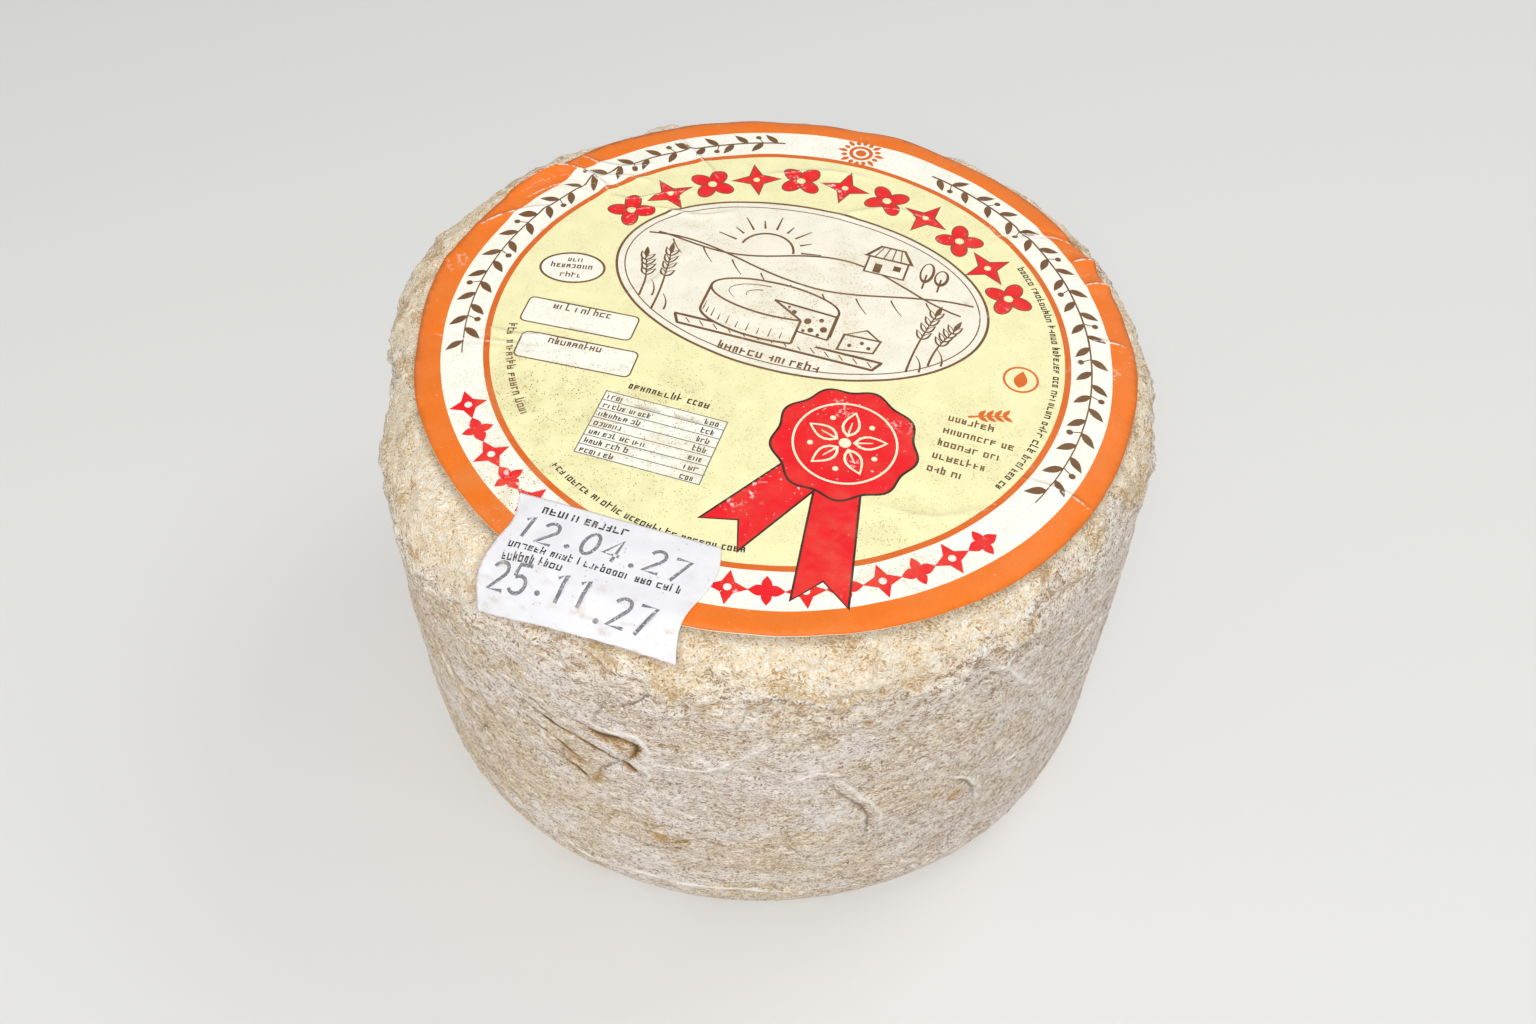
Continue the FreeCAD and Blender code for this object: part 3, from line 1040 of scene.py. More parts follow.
def draw_country():
    """Hills with furrows under a rising sun, a farmhouse and two trees."""
    sun = (-8, 18.5)
    pen(sweep(*sun, 4.6, 8, 172), 0.42)
    for i in range(9):
        angle = math.radians(12 + 19.5 * i)
        pen([away(*sun, angle, 5.9), away(*sun, angle, 8 if i % 2 else 9.4)], 0.42, 0.2)
    x = np.linspace(-27, 27, 34)
    pen(np.stack([x, 18.6 + 2.1 * np.sin(x / 6.3 + 0.6) - 0.0035 * x ** 2], 1), 0.4)
    x = np.linspace(-28.5, 28.5, 34)
    near_hill = 14.6 + 2.4 * np.sin(x / 8.2 - 1.9)
    pen(np.stack([x, near_hill], 1), 0.4)
    for i in range(9):
        start = -24 + 5.6 * i
        top = float(np.interp(start, x, near_hill)) - 0.9
        t = np.linspace(0, 1, 6)
        pen(np.stack([start + 1.8 * t + 0.8 * t ** 2, top - 3.1 * t], 1), 0.32, 0.14)
    outlined(block(12.4, 21.3, 7.2, 4.4), block(12.4, 21.3, 6.5, 3.7))
    outlined([(8, 23.2), (16.8, 23.2), (14.6, 26.7), (10.2, 26.7)],
             [(8.9, 23.6), (15.9, 23.6), (14.3, 26.3), (10.5, 26.3)])
    strokes(0.22, *([(9.9 + 1.5 * i, 23.6), (10.8 + 1.05 * i, 26.3)] for i in range(4)))
    put("brown", block(11, 20.7, 1.3, 2.3))
    put("brown", block(14.2, 21.6, 1.3, 1.3))
    for x, high in ((19.3, 5.2), (21.9, 4.1)):
        outlined(oval(x, 19.8 + high / 2, 1.25, high / 2), oval(x - 0.1, 20 + high / 2, 0.85, high / 2 - 0.5))
        pen([(x, 18.3), (x, 19.9 + high * 0.4)], 0.34)


def draw_board():
    """The board that the cheese is served on."""
    strokes(0.5, [(-17.6, -1), (17.6, -1)], [(-16.4, -3), (16.4, -3)],
            [(-17.4, -1.1), (-16.3, -3.1)], [(17.4, -1.1), (16.3, -3.1)])
    strokes(0.2, *([(-15.4 + 2.35 * i, -1.5), (-14.4 + 2.35 * i, -2.5)] for i in range(14)))


def draw_cheese():
    """A wheel of cheese: its body and top, and the notch where a wedge was drawn out."""
    x, y = -3, 7.4
    wide, deep, tall = 11, 3.9, 5.6
    low = y - tall

    def rim(way, middle=y):
        return sweep(x, middle, wide, way, way, high=deep)[0]

    put("panel", np.vstack([sweep(x, y, wide, 0, 180, high=deep), sweep(x, low, wide, 180, 360, high=deep)]))
    strokes(0.45, [(x - wide, y), (x - wide, low)], [(x + wide, y), (x + wide, low)])
    pen(sweep(x, low, wide, 180, 300, high=deep), 0.45)
    outlined(oval(x, y, wide + 0.22, deep + 0.22, points=48), oval(x, y, wide - 0.22, deep - 0.22, points=48))
    near_x, near_y = rim(-60)
    far_x, far_y = rim(-10)
    put("panel", [(x, y), (far_x, far_y), (far_x, far_y - tall), (far_x - 1.6, far_y - tall - 2.4),
                  (near_x + 0.4, near_y - tall - 0.4), (near_x, near_y)])
    strokes(0.42, [(x, y), (far_x, far_y)], [(x, y), (near_x, near_y)])
    strokes(0.45, [(near_x, near_y), (near_x, near_y - tall)])
    strokes(0.42, [(far_x, far_y), (far_x, far_y - tall)])
    strokes(0.36, [(near_x, low - 0.4), (far_x, far_y - tall)])
    for hole_x, hole_y, size in ((0.9, 5.6, 0.45), (3.6, 4.3, 0.62), (5.7, 5.2, 0.42), (4.6, 2.4, 0.5),
                                 (6.6, 3.2, 0.6), (3.5, 1.9, 0.3), (6, 1.7, 0.3), (-0.2, 6.5, 0.25)):
        put("brown", oval(hole_x, hole_y, size, size * 1.15, points=12))
    for i in range(11):
        foot_x, foot_y = rim(188 + 10 * i, low)
        pen([(foot_x, foot_y + 0.8), (foot_x, foot_y + 2.3 + 0.5 * (i % 2))], 0.24, 0.1)
    for share, first, last in ((0.72, 100, 215), (0.45, 120, 200)):
        pen(sweep(x, y, wide * share, first, last, high=deep * share), 0.24, 0.1)


def draw_wedge():
    """The wedge beside the wheel: its face, its top and its holes."""
    outlined([(9.6, -0.5), (15.7, 0.5), (16.3, 3.9), (9.9, 3.6)],
             [(10, -0.1), (15.4, 0.8), (15.9, 3.5), (10.3, 3.2)])
    outlined([(9.7, 3.2), (16.3, 3.6), (13.4, 5.6)], [(10.7, 3.6), (15.4, 3.85), (13.3, 5.2)])
    for x, y in ((11.5, 1.2), (13.3, 2.3), (14.6, 1.5)):
        put("brown", oval(x, y, 0.36, 0.42, points=10))


def draw_picture():
    """The white oval with its drawing."""
    draw_panel(0, 12, 32, 20.5)
    draw_country()
    draw_board()
    draw_cheese()
    draw_wedge()
    for side in (-1, 1):
        draw_wheat(side * 21.5, -1.5, 12.5, side * 1.6)
        draw_wheat(side * 24.5, 1, 10.2, side * 2.2)
    writing("brown", 17.5, 1.9, 31, straight(-8.4, -6.4))


seal = (16.5, -19)
seal_radius = 10.6


def draw_ribbon(turn, length):
    """One tail of the seal's ribbon, with a swallow-tailed end."""
    for ink, grow in (("dark", 0.36), ("red", 0)):
        start = 3.15 + grow
        half = 3.9 + grow
        tip = -length - 1.7 * grow
        put(ink, placed(np.array([-start, start, half, 0, -half]),
                        np.array([-6, -6, tip, -length + 3.8 - grow, tip]), *seal, turn))


def draw_seal():
    """The red seal with its two ribbons, a ring and a flower of five petals."""
    draw_ribbon(math.radians(-29), 25.5)
    draw_ribbon(math.radians(9), 29.5)
    t = 2 * np.pi * np.arange(108) / 108
    wavy = seal_radius * (1 + 0.045 * np.cos(9 * t) + 0.012 * np.sin(2 * t))
    for ink, grow in (("dark", 0.42), ("red", 0)):
        put(ink, placed((wavy + grow) * np.cos(t), (wavy + grow) * np.sin(t), *seal))
    put("cream", oval(*seal, 8.1, points=60))
    put("red", oval(*seal, 7.75, points=60))
    for i in range(5):
        angle = math.radians(90 + 72 * i)
        put("cream", leaf(*away(*seal, angle, 1.2), 5.4, 2.9, angle))
        put("red", leaf(*away(*seal, angle, 1.7), 4.4, 2.1, angle))
        put("cream", line([away(*seal, angle, 1.6), away(*seal, angle, 4.3)], 0.34, 0.16))
        put("cream", oval(*away(*seal, angle + math.radians(36), 5.3), 0.46, points=10))
    put("cream", oval(*seal, 0.95, points=14))


def draw_table(x, y, wide, high):
    """The ruled table with a row of print on each line."""
    lines = 7
    put("grey", block(x, y, wide, high))
    put("white", block(x, y, wide - 0.4, high - 0.4))
    for i in range(1, lines):
        put("grey", block(x, y + high / 2 - high * i / lines, wide, 0.18))
    for i in range(lines):
        foot = y + high / 2 - high * (i + 0.82) / lines
        writing("dark", 4 + 6.5 * ((i * 5) % lines) / lines, 1.15, 60 + i, straight(x - 9.3, foot))
        writing("dark", 2.6, 1.15, 70 + i, straight(x + 6.6, foot))
    writing("dark", 13.5, 1.5, 80, straight(x - 7, -19.3))


def draw_forms():
    """The places to fill in, the ruled table, and rows of small print."""
    tilt = 0.06
    for x, y, wide in ((-31.5, -7.4, 19), (-29, -15, 19.5)):
        put("brown", block(x, y, wide, 5.9, tilt, 1))
        put("white", block(x, y, wide - 0.5, 5.4, tilt, 0.8))
        writing("brown", wide * 0.55, 1.5, int(40 - y), straight(x - wide * 0.27, y + 0.9, tilt))
    tilt = 0.2
    put("brown", oval(-37.4, 3.6, 5.6, 3.9, tilt))
    put("white", oval(-37.4, 3.6, 5.2, 3.5, tilt))
    for length, high, seed, x, y in ((3, 1.3, 51, -38.8, 4.9), (7.2, 1.4, 52, -41, 2.7),
                                     (3.4, 1.3, 53, -38.6, 0.9)):
        writing("brown", length, high, seed, straight(x, y, tilt))
    draw_table(-11.5, -27.4, 20, 13.2)
    for i, length in enumerate((9.5, 11.5, 10, 8.5, 5.6)):
        writing("brown", length, 1.55, 90 + i, straight(30.2 - 0.2 * i, -9.2 - 2.7 * i))
    writing("dark", 52, 1.35, 98, bent(44.3, 41))
    writing("dark", 34, 1.35, 99, bent(44.3, 238, inward=True))
    writing("brown", 21, 1.5, 97, bent(43.6, 196, inward=True))


def draw_icons():
    """Two small orange signs: a drop in a ring and a sprig of wheat."""
    x, y = 39.2, 3.4
    put("deep orange", oval(x, y, 2.9))
    put("yellow", oval(x, y, 2.5))
    put("deep orange", leaf(x, y - 1.9, 3.9, 2.2, math.pi / 2))
    x, y = 35.6, -6.2
    put("deep orange", line([(x - 2.6, y - 1.2), (x, y), (x + 3.2, y + 1)], 0.45, 0.2))
    for i in range(4):
        for side in (-1, 1):
            put("deep orange", leaf(x - 1.1 + 1.2 * i, y - 0.45 + 0.42 * i, 1.9, 0.8, 0.35 + side * 0.75))


draw_rings()
draw_garland(106, 204)
draw_garland(74, -24)
draw_sun(0, ring_middle)
draw_red_border(217, 323)
draw_red_arc()
draw_picture()
draw_forms()
draw_icons()
draw_seal()


label_turn = math.radians(-15)        # how the upright print lies on the wheel
trim_start = math.radians(-180.6)     # where the trimmer's cut starts and ends
paper_step = 0.9                      # size of the label's plain triangles, in millimetres,
fold_step = 0.36                      # of those along its creases, and of those underneath
under_step = 2.6
fold_reach = 1.9                      # how far beside a crease the triangles are small
paper_thick = 0.16
label_under_map = (0.25, (90, 40))    # scale and shift of the colours' map below


def label_outline():
    """The trimmed edge of the label, a little uneven, with one step where the trimmer
    started."""
    ways = 2 * np.pi * np.arange(400) / 400
    ring = np.stack([np.cos(ways), np.sin(ways), 0 * ways], 1)
    radius = label_radius / mm - 0.25 + 0.22 * grain(ring, 0.5, 41) + 0.06 * grain(ring, 0.05, 42)
    step = wrapped(ways - trim_start)
    radius += 0.45 * smooth_step(0, 0.02, step) * smooth_step(0.35, 0, step)
    return ring[:, :2] * radius[:, None]


def inside(places, outline):
    """Which places lie inside an outline."""
    found = np.zeros(len(places), dtype=bool)
    close = (places >= outline.min(0)) & (places <= outline.max(0))
    near = np.nonzero(close.all(axis=1))[0]
    x, y = places[near].T
    odd = np.zeros(len(near), dtype=bool)
    last = outline[-1]
    for corner in outline:
        if corner[1] != last[1]:
            crosses = (corner[1] > y) != (last[1] > y)
            at = corner[0] + (y - corner[1]) * (last[0] - corner[0]) / (last[1] - corner[1])
            odd ^= crosses & (x < at)
        last = corner
    found[near] = odd
    return found


def hex_places(step, reach):
    """Places in a honeycomb within reach of the middle."""
    flat_share = 0.866
    rows = int(reach / (step * flat_share)) + 1
    columns = int(reach / step) + 1
    j, i = np.indices((2 * rows + 1, 2 * columns + 1)).reshape(2, -1) - [[rows], [columns]]
    places = np.stack([(i + 0.5 * (j % 2)) * step, j * step * flat_share], 1)
    return places[np.linalg.norm(places, axis=1) < reach]


def cut_sheet(outline, shapes, step, extra=None):
    """A flat sheet cut into triangles along the outlines of all its printed shapes.  Gives
    the places, the triangles and which shape each shows."""
    loops = [outline] + [corners for ink, corners in shapes]
    middle = outline.mean(0)
    filling = hex_places(step, np.linalg.norm(outline - middle, axis=1).max()) + middle
    if extra is not None:
        filling = np.vstack([filling, extra])
    inset = 1 - 0.35 * step / 30        # keeps the filling clear of the edge
    filling = filling[inside(filling, middle + (outline - middle) * inset)]
    edges = []
    start = 0
    for loop in loops:
        edges += [(start + i, start + (i + 1) % len(loop)) for i in range(len(loop))]
        start += len(loop)
    places = [Vector(place) for place in np.vstack(loops + [filling])]
    places, _, triangles, *_ = delaunay_2d_cdt(places, edges, [], 0, 1e-5)
    places = np.array([tuple(place) for place in places])
    triangles = np.array([t for t in triangles if len(t) == 3])
    triangles = triangles[inside(places[triangles].mean(1), outline)]
    centres = places[triangles].mean(1)
    shown = np.full(len(triangles), -1)
    for number, (ink, corners) in enumerate(shapes):
        shown[inside(centres, corners)] = number
    return places, triangles, shown


def edge_of(triangles):
    """The points round the edge of a sheet of triangles, in order."""
    sides = np.vstack([triangles[:, [0, 1]], triangles[:, [1, 2]], triangles[:, [2, 0]]])
    found, counts = np.unique(np.sort(sides, 1), axis=0, return_counts=True)
    directed = set(map(tuple, sides.tolist()))
    rim = [(a, b) if (a, b) in directed else (b, a) for a, b in found[counts == 1].tolist()]
    following = dict(rim)
    loop = [int(found[counts == 1][0, 0])]
    while following[loop[-1]] != loop[0]:
        loop.append(following[loop[-1]])
    return loop


def paper_piece(name, outline, shapes, steps, place_top, place_under, papers, under_map, extra=None):
    """A thin closed piece of printed paper: a sheet cut along its print, its edge and a
    plainer underside.  steps are the sizes of the triangles above and below.  place_top and
    place_under put places of the flat sheet where they belong.  papers holds a material for
    each ink, first the one that also shows where nothing is printed.  under_map is the scale
    and the shift of the map below.  Gives the piece and the flat place of each point."""
    flat, triangles, shown = cut_sheet(outline, shapes, steps[0], extra)
    loop = edge_of(triangles)
    low_flat, low_triangles, _ = cut_sheet(flat[loop], [], steps[1])
    used, low_triangles = np.unique(low_triangles, return_inverse=True)
    low_flat = low_flat[used]
    start = len(flat)
    nearest = {tuple(np.round(place, 6)): start + i for i, place in enumerate(low_flat)}
    feet = [nearest[tuple(np.round(flat[i], 6))] for i in loop]
    faces = triangles.tolist() + (start + low_triangles.reshape(-1, 3)[:, ::-1]).tolist()
    for i in range(len(loop)):
        j = (i + 1) % len(loop)
        faces.append((loop[j], loop[i], feet[i], feet[j]))
    piece = shape(name, np.vstack([place_top(flat), place_under(low_flat)]), faces)
    inks = list(papers)
    numbers = [inks.index(shapes[i][0]) if i >= 0 else 0 for i in shown]
    for paper in papers.values():
        piece.data.materials.append(paper)
    piece.data.polygons.foreach_set("material_index", numbers + [0] * (len(faces) - len(numbers)))
    flat = np.vstack([flat, low_flat])
    corners = flat[read(piece.data.loops, "vertex_index", kind=np.int32)]
    under = 3 * len(triangles)
    scale, shift = under_map
    corners[under:] = corners[under:] * scale + shift
    bake_map(piece, corners)
    return piece, flat


# Creases: (half width, height, points), in millimetres on the flat label as it lies.
creases = [
    (1, 1.3, [(-49.5, 30.5), (-44.5, 36.5), (-40, 39), (-35, 37), (-31, 33)]),
    (0.7, -0.45, [(-46.5, 30), (-42.5, 34.4), (-38.5, 36), (-34, 33.8)]),
    (0.8, 0.7, [(-53, 22), (-47, 26.5), (-41, 28.6)]),
    (0.8, 0.6, [(-38, 43.5), (-33.5, 41), (-29, 40.5), (-24, 42)]),
    (0.6, 0.5, [(-33, 33), (-27, 31.6), (-22, 33.4), (-16, 35)]),
    (0.6, 0.42, [(-36, 36.5), (-30, 38), (-24, 37.2)]),
    (0.6, 0.4, [(-29, 28.5), (-22, 29.4), (-15, 28), (-8, 30)]),
    (0.7, 0.5, [(-21, 50.5), (-16, 44), (-12, 38)]),
    (0.7, -0.55, [(-55.5, -3.6), (-50, -4.6), (-43.9, -5), (-39.5, -5.9), (-34, -5.6)]),
    (0.6, 0.42, [(-47, -2), (-41.5, -3.6), (-36, -3.2)]),
    (0.7, 0.5, [(37, -27.2), (43, -29.4), (48.5, -32)]),
    (0.9, -0.6, [(35, 27), (41, 29), (48, 28.6), (55, 27)]),
    (1.3, 1, [(49, 21.6), (53.7, 23.2), (56.6, 23.8)]),
    (1.1, 0.8, [(51, 16.2), (56.3, 17.4)]),
    (0.9, 0.5, [(50.5, 3), (56.5, 2)]),
    (0.8, 0.36, [(-6, 40), (6, 42.5), (16, 41)]),
    (0.8, 0.34, [(8, 30), (18, 33), (27, 30)]),
    (0.9, 0.28, [(-27, 6), (-20, 12), (-16, 20)]),
    (0.9, 0.26, [(14, -34), (24, -36), (34, -33)]),
]


def crease_lines(flat):
    """The height the creases add at flat places in millimetres, and the nearest crease: the
    signed gap to its line and how strong it is there."""
    height, strong = np.zeros((2, len(flat)))
    gap = np.full(len(flat), no_line)
    for half_width, size, points in creases:
        apart, share = beside_line(flat, rounded(points))
        taper = np.clip(4 * share * (1 - share), 0, 1) ** 0.6
        height += size * taper * hump(apart, half_width)
        nearer = np.abs(apart) < np.abs(gap)
        gap[nearer] = apart[nearer]
        strong[nearer] = (min(abs(size), 0.8) * taper)[nearer]
    return height, gap, strong


def label_height(flat):
    """How far the label's face stands off the skin, for flat places in millimetres."""
    radius = np.linalg.norm(flat, axis=1)
    spread = np.stack([*flat.T, 0 * radius], 1)
    height = 0.22 + 0.12 * grain(spread, 13, 51) + 0.07 * grain(spread, 5, 52)
    height += smooth_step(36, 56, radius) * 0.16 * (0.6 + grain(spread, 7, 53))
    lifted = smooth_step(-0.1, 0.9, grain(spread / np.maximum(radius, 1)[:, None] * 57, 16, 54))
    height += (0.25 + 0.6 * lifted) * smooth_step(53.5, 57.8, radius)
    return np.maximum(height + crease_lines(flat)[0], 0.06)


def soiled(flat):
    """Where the mould and grime have gathered on the label, 0 to 1."""
    everywhere = 0.28
    # Spots: the middle and the reach in millimetres, and the amount.
    spots = [(-20, -22, 18, 1), (-36, -16, 14, 1), (4, 4, 15, 0.9), (14, 16, 11, 0.7), (-36, -36, 12, 1),
             (16, -42, 14, 0.7), (-14, 24, 12, 0.5), (30, -22, 14, 0.6), (26, 26, 11, 0.45)]
    total = np.full(len(flat), everywhere)
    for x, y, reach, amount in spots:
        gone = ((flat[:, 0] - x) ** 2 + (flat[:, 1] - y) ** 2) / reach ** 2
        total = np.maximum(total, amount * np.exp(-gone))
    return total


def on_label(places):
    """Where places of the print come to lie on the wheel."""
    flat = turned(places, label_turn)
    return on_skin(flat, label_height(flat))


def under_label(places):
    """The label's underside: at the edge just a paper's thickness under the face, and
    elsewhere down on the cheese, below all the cockles nearby."""
    nearby = 1.6
    edge_width = 1.2
    flat = turned(places, label_turn)
    lowest = label_height(flat)
    for way in range(8):
        near = flat + away(0, 0, way * math.pi / 4, nearby)
        lowest = np.minimum(lowest, label_height(near))
    at_edge = np.linalg.norm(flat, axis=1) > label_radius / mm - edge_width
    pressed = np.minimum(lowest, 0.2) - 0.02
    return on_skin(flat, np.where(at_edge, lowest, pressed) - paper_thick)


def make_label():
    """The label with its creases cut fine, and how soiled and folded it is at each point."""
    edge_clear = 0.6
    close = hex_places(fold_step, label_radius / mm - edge_clear)
    close = close[np.abs(crease_lines(turned(close, label_turn))[1]) < fold_reach]
    inks = ["white"] + sorted({ink for ink, corners in label_shapes} - {"white"})
    piece, places = paper_piece(
        "label", label_outline(), label_shapes, (paper_step, under_step), on_label, under_label,
        {ink: printed_paper(ink) for ink in inks}, label_under_map, close)
    flat = turned(places, label_turn)
    _, gap, strong = crease_lines(flat)
    mark_points(piece, {"soiled": soiled(flat), "fold gap": gap, "fold": strong})
    return piece


def new_group(name, inputs, outputs):
    """A shader node group of a place (None) and numbers in, and numbers out.  Gives its tree,
    what goes in and the sockets out."""
    tree = bpy.data.node_groups.new(name, "ShaderNodeTree")
    for label, value in inputs.items():
        kind = "NodeSocketVector" if value is None else "NodeSocketFloat"
        socket = tree.interface.new_socket(label, in_out="INPUT", socket_type=kind)
        if value is not None:
            socket.default_value = value
    for label in outputs:
        tree.interface.new_socket(label, in_out="OUTPUT", socket_type="NodeSocketFloat")
    given = tree.nodes.new("NodeGroupInput").outputs
    return tree, [Value(given[label]) for label in inputs], tree.nodes.new("NodeGroupOutput").inputs


def use_group(tree, made, **inputs):
    """Places a node group in a material and gives what it puts out, by name."""
    found = add(tree, "ShaderNodeGroup", inputs, node_tree=made).outputs
    return {socket.name: Value(socket) for socket in found}


def make_specks():
    """Round specks of mould or dirt: in the cells of a grid, gathered in cloudy patches."""
    tree, (place, size, patches, amount), out = new_group(
        "specks", {"Place": None, "Size": 1000, "Patches": 100, "Amount": 0.5}, ("Mask", "Patch"))
    cells = add(tree, "ShaderNodeTexVoronoi", {"Vector": place, "Scale": size}).outputs
    shade = add(tree, "ShaderNodeSeparateColor", {"Color": cells["Color"]}).outputs
    cloud = add(tree, "ShaderNodeTexNoise", {"Vector": place, "Scale": patches, "Detail": 3,
                                             "Roughness": 0.6})
    patch = Value(cloud.outputs["Fac"]).ramp(0.35, 0.72)
    chosen = Value(shade["Red"]).take("LESS_THAN", patch * amount)
    spot = Value(shade["Green"]) * 0.3 + 0.1 - Value(cells["Distance"])
    feed(out["Mask"], spot.ramp(0, 0.12) * chosen)
    feed(out["Patch"], patch)
    return tree


def make_paper_face():
    """The face of printed paper: its fibre, where its ink has rubbed off, a pale line on each
    crease's ridge, partly ink cracked off and partly painted highlight, and beside its folds
    painted shade with some soil."""
    tree, (place, rub), out = new_group("paper face", {"Place": None, "Rub": 0.3},
                                        ("Fibre", "Worn", "Shade", "Ridge", "Fold"))
    flecks = noise(place, 0.7 * mm, 4, 1, 0.4)
    patches = noise(place, 8 * mm, 3, 1, 0.7)
    worn = flecks.ramp(0.66, 0.72) * patches.ramp(0.4, 0.62)
    heavy = flecks.ramp(0.5, 0.62) * patches.ramp(0.62, 0.72)
    gap, strong = mask(tree, "fold gap"), mask(tree, "fold")
    feed(out["Fibre"], noise(place, 0.5 * mm, 3))
    feed(out["Worn"], worn.take("MAXIMUM", heavy) * rub)
    feed(out["Shade"], noise(place, 5 * mm, 3).ramp(0.3, 0.7))
    feed(out["Ridge"], abs(gap).ramp(0.24, 0.08) * flecks.ramp(0.4, 0.58) * strong.ramp(0.05, 0.6))
    feed(out["Fold"], abs(gap - 0.55).ramp(0.55, 0.05) * strong.ramp(0.05, 0.7))
    return tree


specks = make_specks()
paper_face = make_paper_face()

ink_colours = {
    "white": paint(253, 252, 240),
    "orange": paint(240, 120, 28),
    "deep orange": paint(224, 106, 30),
    "yellow": paint(247, 242, 190),
    "panel": paint(247, 242, 226),
    "brown": paint(116, 80, 50),
    "red": paint(238, 22, 33),
    "dark": paint(58, 34, 28),
    "cream": paint(255, 247, 212),
    "grey": paint(128, 124, 120),
}
pale_inks = ("white", "yellow", "panel", "cream")
paper_bare = paint(250, 246, 236)
mould_brown = paint(116, 94, 60)
grime = paint(212, 192, 140)


def printed_paper(ink):
    """Label paper under one ink."""
    made, place = new_material("label " + ink, 0.48, 0.28)
    tree = made.node_tree
    solid = ink not in pale_inks
    rub = 0.85 if ink == "red" else 0.35 if solid else 0
    face = use_group(tree, paper_face, Place=place, Rub=rub)
    small = use_group(tree, specks, Place=place, Size=1 / (0.34 * mm), Patches=1 / (4.5 * mm), Amount=2.3)

    def shaded(*shares):
        return (*(part * share for part, share in zip(ink_colours[ink], shares)), 1)

    colour = face["Shade"].tint(ink_colours[ink], shaded(0.95, 0.95, 0.93))
    if solid:
        screen = noise(place, 0.2 * mm, 2)
        colour = coats(colour, (screen.ramp(0.5, 0.3) * 0.45, shaded(0.78, 0.72, 0.72)),
                       (face["Worn"], paper_bare))
    dirt = mask(tree, "soiled")
    film = small["Patch"] * dirt
    smudge = noise(place, 0.8 * mm, 5, 1, 0.5).ramp(0.56, 0.68) * film
    dots = (small["Mask"] * dirt).take("MAXIMUM", smudge * 0.35)
    colour = coats(
        colour,
        # Beside each fold, painted shade with some soil; on its ridge, a pale line, partly ink cracked off
        # and partly painted highlight.
        (face["Fold"] * 0.55, shaded(0.62, 0.58, 0.52)),
        (face["Ridge"] * 0.85, paper_bare),
        (film * (0.2 if solid else 0.4), grime),
        (dots * (0.35 if solid else 1), mould_brown))
    return surface(made, colour, face["Fibre"], 0.35, 0.05 * mm)


label = make_label()
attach(label, "root")
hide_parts("top_label")


# ======================================================================================
# The date sticker
# A small white price-gun sticker with wave-cut ends, pressed over the label's edge and
# down the shoulder.  Its dates are rolled on with a worn inked stamp; its lower edge has
# come away a little.
# ======================================================================================

sticker_turn = math.radians(-15)
sticker_wave = 1.0
sticker_thick = 0.14
sticker_steps = (0.5, 1.2)            # sizes of the triangles above and below
sticker_under_map = (0.4, (0, 16))
sticker_points = turned(corners_of("date_sticker") / mm, -sticker_turn)
sticker_middle = (sticker_points.min(0) + sticker_points.max(0)) / 2
half_long, half_wide = (sticker_points.max(0) - sticker_points.min(0)) / 2 - (sticker_wave, 0)


def sticker_outline():
    """Its cut edge: straight long sides, the lower one nibbled, and waved short ends."""
    shares = np.linspace(0, 1, 25)
    wave = sticker_wave * np.sin(2 * np.pi * (shares - 0.5))
    right = np.stack([half_long + wave, half_wide * (2 * shares - 1)], 1)
    left = np.stack([-half_long + wave, half_wide * (2 * shares - 1)], 1)[::-1]
    along = np.linspace(-half_long, half_long, 60)[1:-1]
    spots = np.stack([along, 0 * along, 0 * along], 1)
    nibbled = -half_wide + 0.1 * grain(spots, 1.3, 61) + 0.1 * grain(spots, 6, 62)
    top = half_wide + 0.03 * grain(spots, 3, 63)
    return np.vstack([right, np.stack([along, top], 1)[::-1], left, np.stack([along, nibbled], 1)])


digits = {
    "0": [sweep(0.3, 0.5, 0.27, 95, 455, high=0.48, count=22)],
    "1": [[(0.12, 0.8), (0.36, 1), (0.36, 0)]],
    "2": [[*sweep(0.3, 0.72, 0.27, 165, -25, high=0.27, count=10), (0.02, 0.02), (0.62, 0.02)]],
    "4": [[(0.46, 0), (0.46, 0.98), (0, 0.3), (0.62, 0.3)]],
    "5": [[(0.58, 0.98), (0.12, 0.98), (0.07, 0.58)],
          sweep(0.28, 0.31, 0.3, 128, -150, high=0.31, count=12)],
    "7": [[(0.02, 0.98), (0.6, 0.98), (0.24, 0)]],
}


def stamp(text, x, y, high, pitch, drops):
    """Stamped figures along a row; drops is how far each figure sits off the row."""
    slant = 0.16
    width = 0.56
    dot_pitch = 0.82        # a full stop takes less room
    for letter, drop in zip(text, drops):
        if letter == ".":
            put("stamp", oval(x + 0.32 * high, y + drop + 0.14 * high, 0.44, 0.4, points=12))
        else:
            for stroke in digits[letter]:
                points = [(x + (u + slant * v) * high, y + drop + v * high) for u, v in stroke]
                put("stamp", line(points, width))
        x += pitch * (dot_pitch if letter == "." else 1)


drawn_on = sticker_shapes = []
writing("sticker print", 14, 1.7, 101, straight(-11, 6.9))
stamp("12.04.27", -13.4, 2.1, 3.9, 3.45, (0, -0.3, -0.1, 0, 0, -0.2, 0.1, -0.3))
writing("sticker print", 26, 1.35, 102, straight(-13.2, 0.1))
writing("sticker print", 9.4, 1.35, 103, straight(-13.5, -1.7))
stamp("25.11.27", -14.6, -6, 4.1, 3.35, (-0.1, 0, 0.2, 0, 0.1, -1.5, -1.1, -1.3))


